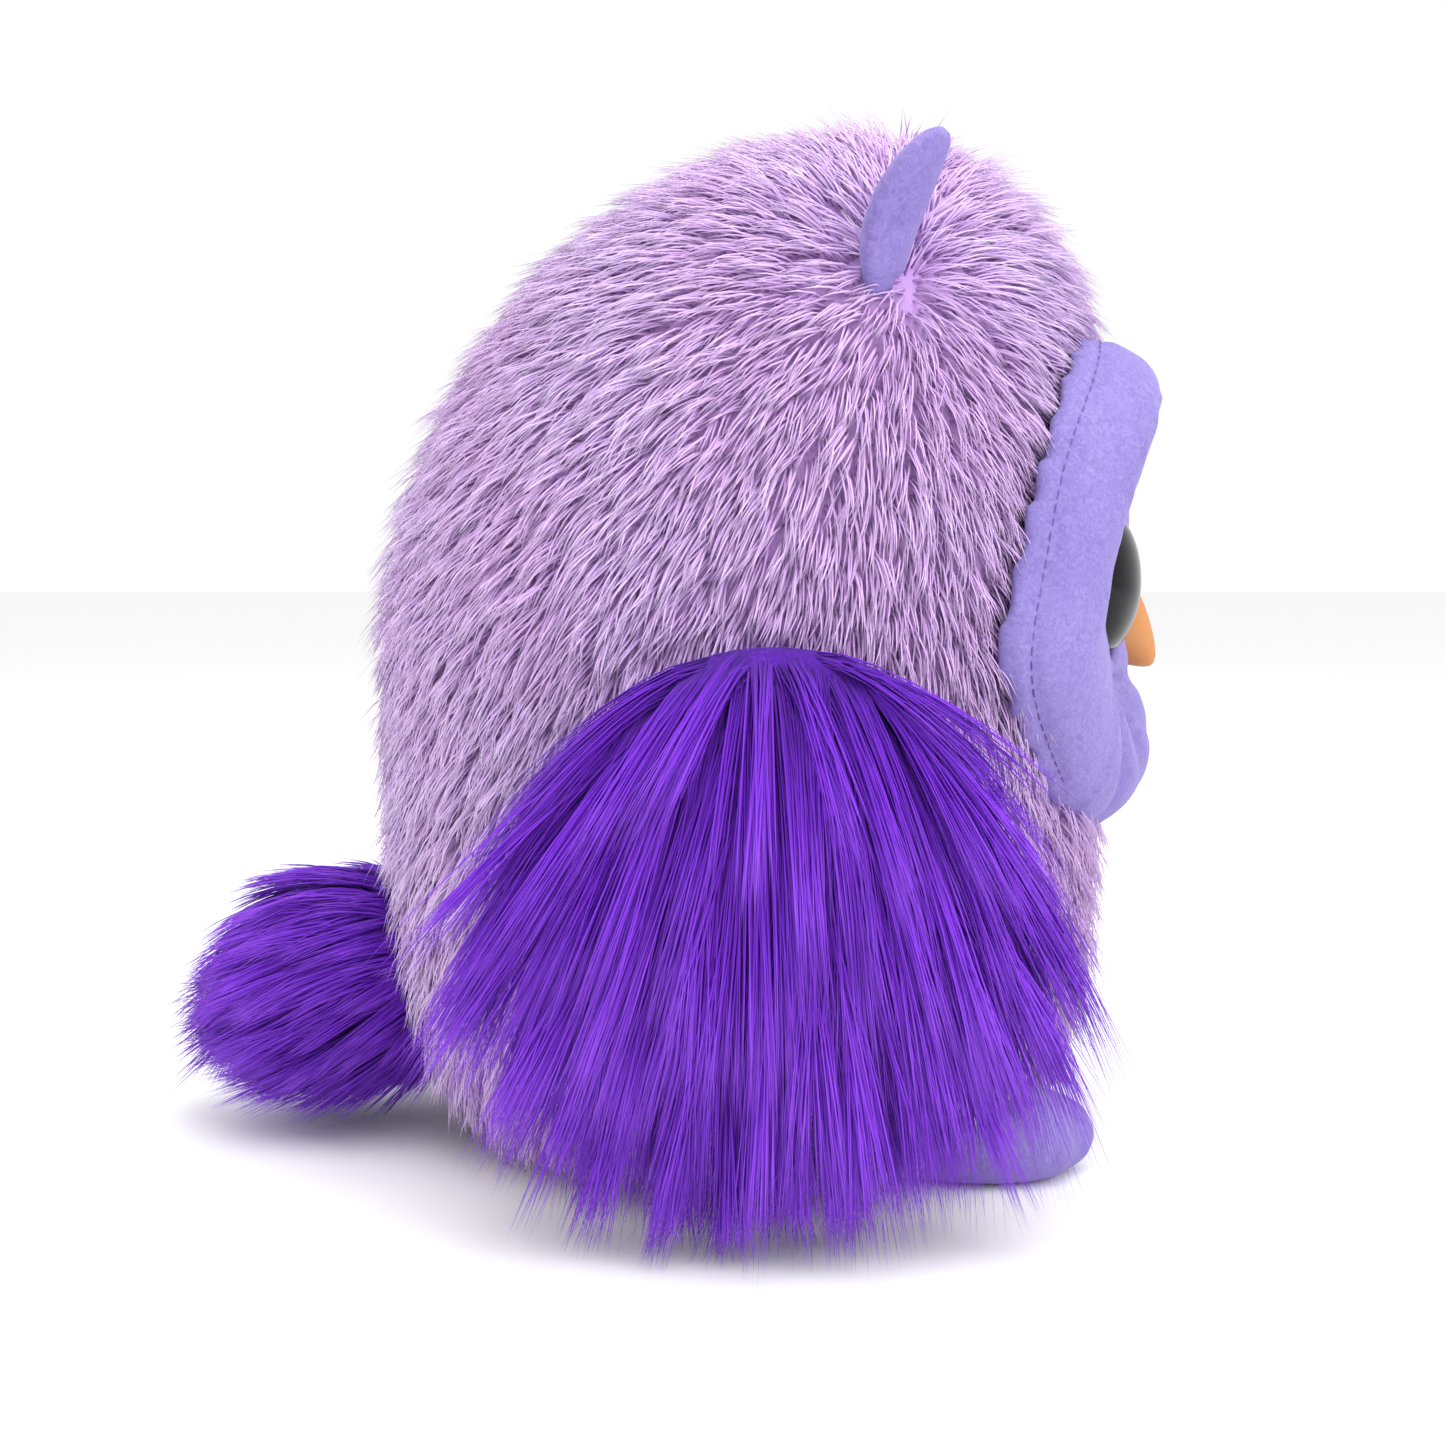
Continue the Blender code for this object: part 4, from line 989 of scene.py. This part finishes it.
# %% Ears and feet
def leaf_mesh(name, root, tip, half_width, half_thick, segments=40, ring_count=30):
    """A leaf that rises from its root and then bends forward: flat, and broad almost up to its blunt tip."""
    side = math.copysign(1, root.x)
    across = Vector((1, 0.34 * side, 0)).normalized()
    rings = [[root]]
    for k in range(1, ring_count):
        t = k / ring_count
        bend = 5.5 * MM * 4 * t * (1 - t)
        centre = root.lerp(tip, t) + Vector((0, bend, bend * 0.2))
        slope = (tip - root) + Vector((0, 5.5 * MM * 4 * (1 - 2 * t), 0))
        out = slope.normalized().cross(across)
        full = (t * (1 - t) * 4) ** 0.42
        wide = half_width * full * (0.72 + 0.42 * t)
        thick = half_thick * full
        ring = []
        for i in range(segments):
            u, v = math.cos(math.tau * i / segments), math.sin(math.tau * i / segments)
            ring.append(centre + across * wide * u + out * thick * v * (1 - abs(u) ** 3 * 0.55))
        rings.append(ring)
    rings.append([tip])
    return grid_mesh(name, rings)


for word, side in SIDES:
    ear_root = Vector((side * 57 * MM, -30 * MM, 193 * MM))
    ear_tip = Vector((side * 73 * MM, -43 * MM, 232 * MM))
    leaf = leaf_mesh(f"ear_leaf_{word}", ear_root, ear_tip, 15 * MM, 4.4 * MM)
    ear = link_mesh(f"ear_leaf_{word}", leaf, VELOUR)

    def ear_held(place, root=ear_root):
        return 1 - smooth_step(4 * MM, 8 * MM, (place - root).length)
    puff(ear, ear_held, voxel=1.6 * MM, pressure=20.0, cap=0.8 * MM)
    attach(ear, "root")
    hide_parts(f"ear_{word}")


def foot_mesh(name, side, segments=48, ring_count=22):
    centre = Vector((side * 40 * MM, -56 * MM, 8.6 * MM))
    half = (20 * MM, 26 * MM, 11.2 * MM)
    rings = [[(centre.x, centre.y, 0.3 * MM)]]
    for k in range(1, ring_count):
        height = -math.cos(math.pi * k / ring_count)
        wide = (1 - abs(height) ** 2.4) ** (1 / 2.4)
        z = max(centre.z + half[2] * height, 0.3 * MM)
        ring = []
        for i in range(segments):
            angle = math.tau * i / segments
            toes = 1 - 0.07 * bell(math.sin(angle), -1, 0.5) * (math.cos(6 * (angle + math.pi / 2)) < 0)
            ring.append((centre.x + half[0] * wide * math.cos(angle) * toes,
                         centre.y + half[1] * wide * math.sin(angle) * toes, z))
        rings.append(ring)
    rings.append([(centre.x, centre.y, centre.z + half[2])])
    return grid_mesh(name, rings)


def foot_held(place):
    return max(smooth_step(3 * MM, 1 * MM, place.z), smooth_step(-45 * MM, -38 * MM, place.y))


for word, side in SIDES:
    foot = link_mesh(f"foot_pad_{word}", foot_mesh(f"foot_pad_{word}", side), VELOUR)
    puff(foot, foot_held, voxel=2.4 * MM, pressure=25.0, cap=1.2 * MM)
    move_points(foot.data, lambda place, normal: Vector((0, 0, max(0.0, 0.2 * MM - place.z))))
    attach(foot, "root")
    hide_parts(f"foot_{word}")
print("ears and feet made")

# %% [markdown]
# ## The wings
# A wing is a thin pad of short lining cloth with long shaggy fur on its outside. The pad wraps a little round
# the body. The fur is brushed away from one point above the shoulder, so it fans to the front, down and to
# the back. Its locks hang past the pad's edge, which makes the wing look much larger than its pad.

# %% Wing pads
WING_MIDDLE = ((WING_LOW[1] + WING_HIGH[1]) / 2, 85 * MM)
WING_HALF = (44 * MM, 40 * MM)


def wing_x(y, inset):
    """How far out the wing's middle sheet lies; it wraps round the body with y."""
    wrap = 0.6 * (BODY_RADIUS - math.sqrt(max(BODY_RADIUS ** 2 - y * y, 0.0)))
    return 99 * MM - wrap + inset


def wing_mesh(name, side, segments=64, ring_count=14):
    rings = []
    for layer in (-1, 1):
        shares = [k / ring_count for k in range(ring_count + 1)]
        for rim in shares if layer < 0 else shares[-2::-1]:
            ring = []
            for i in range(segments if rim else 1):
                angle = math.tau * i / segments
                along = math.copysign(abs(math.cos(angle)) ** 0.94, math.cos(angle)) * rim
                up = math.copysign(abs(math.sin(angle)) ** 0.94, math.sin(angle)) * rim
                y = WING_MIDDLE[0] + 3 * MM + WING_HALF[0] * along * (1 - 0.12 * abs(up))
                z = WING_MIDDLE[1] + WING_HALF[1] * up
                thick = 1.0 * MM + 4.0 * MM * math.sqrt(max(0.0, 1 - rim ** 4))
                ring.append((side * wing_x(y, layer * thick), y, z))
            rings.append(ring)
    return grid_mesh(name, rings)


def fan_comb(point):
    """Away from a point above the shoulder, and mostly down."""
    away = Vector((0, point.y - WING_MIDDLE[0], point.z - 168 * MM)).normalized()
    edge = (point.y - WING_MIDDLE[0]) / WING_HALF[0]
    return Vector((0, away.y + 0.36 * edge * abs(edge), away.z)).normalized()


def wing_pile(point):
    lower = smooth_step(70 * MM, 50 * MM, point.z)
    return (0.86 + 0.14 * smooth_step(124 * MM, 100 * MM, point.z)) * (1 - 0.12 * lower)


def outside_only(point, normal):
    outward = normal.x * math.copysign(1, point.x)
    return max(smooth_step(-0.15, 0.25, outward), smooth_step(0.3, 0.6, normal.z) * (outward > -0.2))


SHAGGY_TREE = fur_tree("shaggy_pile", 5, SHAGGY)
WING_FUR = {
    "Roots per square metre": 2000000.0, "Locks per square metre": 56000.0, "Length": 48 * MM, "Lift": 0.25,
    "Droop": 0.22, "Thickness": 0.36 * MM, "Bunching": 0.66, "Lock spread": 0.19, "Strand spread": 0.07}
for word, side in SIDES:
    pad = link_mesh(f"wing_pad_{word}", wing_mesh(f"wing_pad_{word}", side), DARK_BACKING)
    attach(pad, f"wing_{word}")
    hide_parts(f"wing_{word}")
    comb_surface(pad.data, fan_comb, wing_pile, outside_only)
    fur_pieces(f"wing_fur_{word}", pad.data, lambda p: 1 if p.y < WING_MIDDLE[0] + 4 * MM else 2,
               SHAGGY_TREE, f"wing_{word}", "long_fur", **WING_FUR)

# %% [markdown]
# ## The tail
# The tail is a stuffed bud behind the body, with the same shaggy fur brushed back from its root.

# %% Tail
TAIL_CENTRE = Vector((0, 93 * MM, 38 * MM))
TAIL_HALF = (26 * MM, 27 * MM, 23 * MM)


def tail_mesh(segments=48, ring_count=28):
    rings = [[(0, TAIL_CENTRE.y - TAIL_HALF[1], TAIL_CENTRE.z)]]
    for k in range(1, ring_count):
        back = -math.cos(math.pi * k / ring_count)
        wide = (1 - abs(back) ** 2.3) ** (1 / 2.3)
        rings.append([(TAIL_HALF[0] * wide * math.cos(math.tau * i / segments),
                       TAIL_CENTRE.y + TAIL_HALF[1] * back,
                       TAIL_CENTRE.z + TAIL_HALF[2] * wide * math.sin(math.tau * i / segments))
                      for i in range(segments)])
    rings.append([(0, TAIL_CENTRE.y + TAIL_HALF[1], TAIL_CENTRE.z)])
    return grid_mesh("tail_bud", rings)


def tail_comb(point):
    out = point - Vector((0, 40 * MM, TAIL_CENTRE.z + 6 * MM))
    return (out.normalized() + Vector((0, 0.35, -0.20))).normalized()


def tail_pile(point):
    return 0.62 + 0.38 * smooth_step(72 * MM, 96 * MM, point.y)


def tail_cover(point, normal):
    return smooth_step(70 * MM, 76 * MM, point.y)


tail = link_mesh("tail_bud", tail_mesh(), DARK_BACKING)
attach(tail, "root")
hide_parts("tail")
comb_surface(tail.data, tail_comb, tail_pile, tail_cover)
TAIL_FUR = WING_FUR | {"Roots per square metre": 1100000.0, "Length": 25 * MM, "Lift": 0.36,
                       "Thickness": 0.40 * MM}
fur_pieces("tail_fur", tail.data, lambda p: 1 if p.x < 0 else 2, SHAGGY_TREE, "root", "long_fur", **TAIL_FUR)

# %% [markdown]
# ## The shoulders
# Inside each wing an arm comes out of the body. A short sleeve of backing cloth covers it, from the body to
# the wing's lining. It has to bend when the wing lifts, so it is blended between the two bodies.

# %% Shoulder sleeves
ARM_Y = -3 * MM
ARM_Z = 108 * MM


def sleeve_mesh(name, side, segments=36, steps=12):
    """A closed sleeve across the gap between body and wing."""
    near, far = 76 * MM, 98 * MM
    rings = [[(side * near, ARM_Y, ARM_Z)]]
    for k in range(steps + 1):
        t = k / steps
        flare = 1 + 0.22 * (2 * t - 1) ** 2
        x = near + (far - near) * t
        angles = [math.tau * i / segments for i in range(segments)]
        rings.append([(side * x, ARM_Y + 12 * MM * flare * math.cos(a), ARM_Z + 13 * MM * flare * math.sin(a))
                      for a in angles])
    rings.append([(side * far, ARM_Y, ARM_Z)])
    return grid_mesh(name, rings)


for word, side in SIDES:
    sleeve = link_mesh(f"shoulder_sleeve_{word}", sleeve_mesh(f"shoulder_sleeve_{word}", side), DARK_BACKING)
    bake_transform(sleeve, "root", f"wing_{word}", (side * 80 * MM, 0, 108 * MM), (side * 96 * MM, 0, 108 * MM))
print("wings, tail and shoulders made")

# %% [markdown]
# ## Light, floor and world
# The light is soft and even: one very large panel above, one large panel beside the camera, and a pale world.
# The floor is nearly white, so it only takes a faint shadow.

# %% Light, floor and world
def area_light(name, place, target, size, power):
    light = bpy.data.lights.new(name, "AREA")
    light.shape = "SQUARE"
    light.size = size
    light.energy = power
    lamp = put_in_scene(name, light)
    lamp.location = place
    lamp.rotation_euler = (Vector(target) - Vector(place)).to_track_quat("-Z", "Y").to_euler()


MIDDLE = (0, 0, 0.12)
area_light("top_panel", (-0.25, -0.15, 1.1), MIDDLE, 1.0, 8.5)
area_light("front_panel", (-0.75, -0.75, 0.65), MIDDLE, 0.7, 5.0)
area_light("back_panel", (0.1, 1.0, 0.7), MIDDLE, 0.8, 2.5)
world = bpy.data.worlds.new("studio")
world.use_nodes = True
world.node_tree.nodes["Background"].inputs["Color"].default_value = (1.0, 1.0, 1.0, 1.0)
world.node_tree.nodes["Background"].inputs["Strength"].default_value = 1.0
bpy.context.scene.world = world
bpy.context.scene.view_settings.view_transform = "Standard"

bpy.ops.mesh.primitive_plane_add(size=12.0, location=(0, 0, 0))
floor = bpy.context.object
floor.name = "studio_floor"
paper, paper_shader, _ = start_finish("floor_paper", Roughness=0.9)
paper_shader.inputs["Base Color"].default_value = (0.93, 0.93, 0.93, 1.0)
floor.data.materials.append(paper)
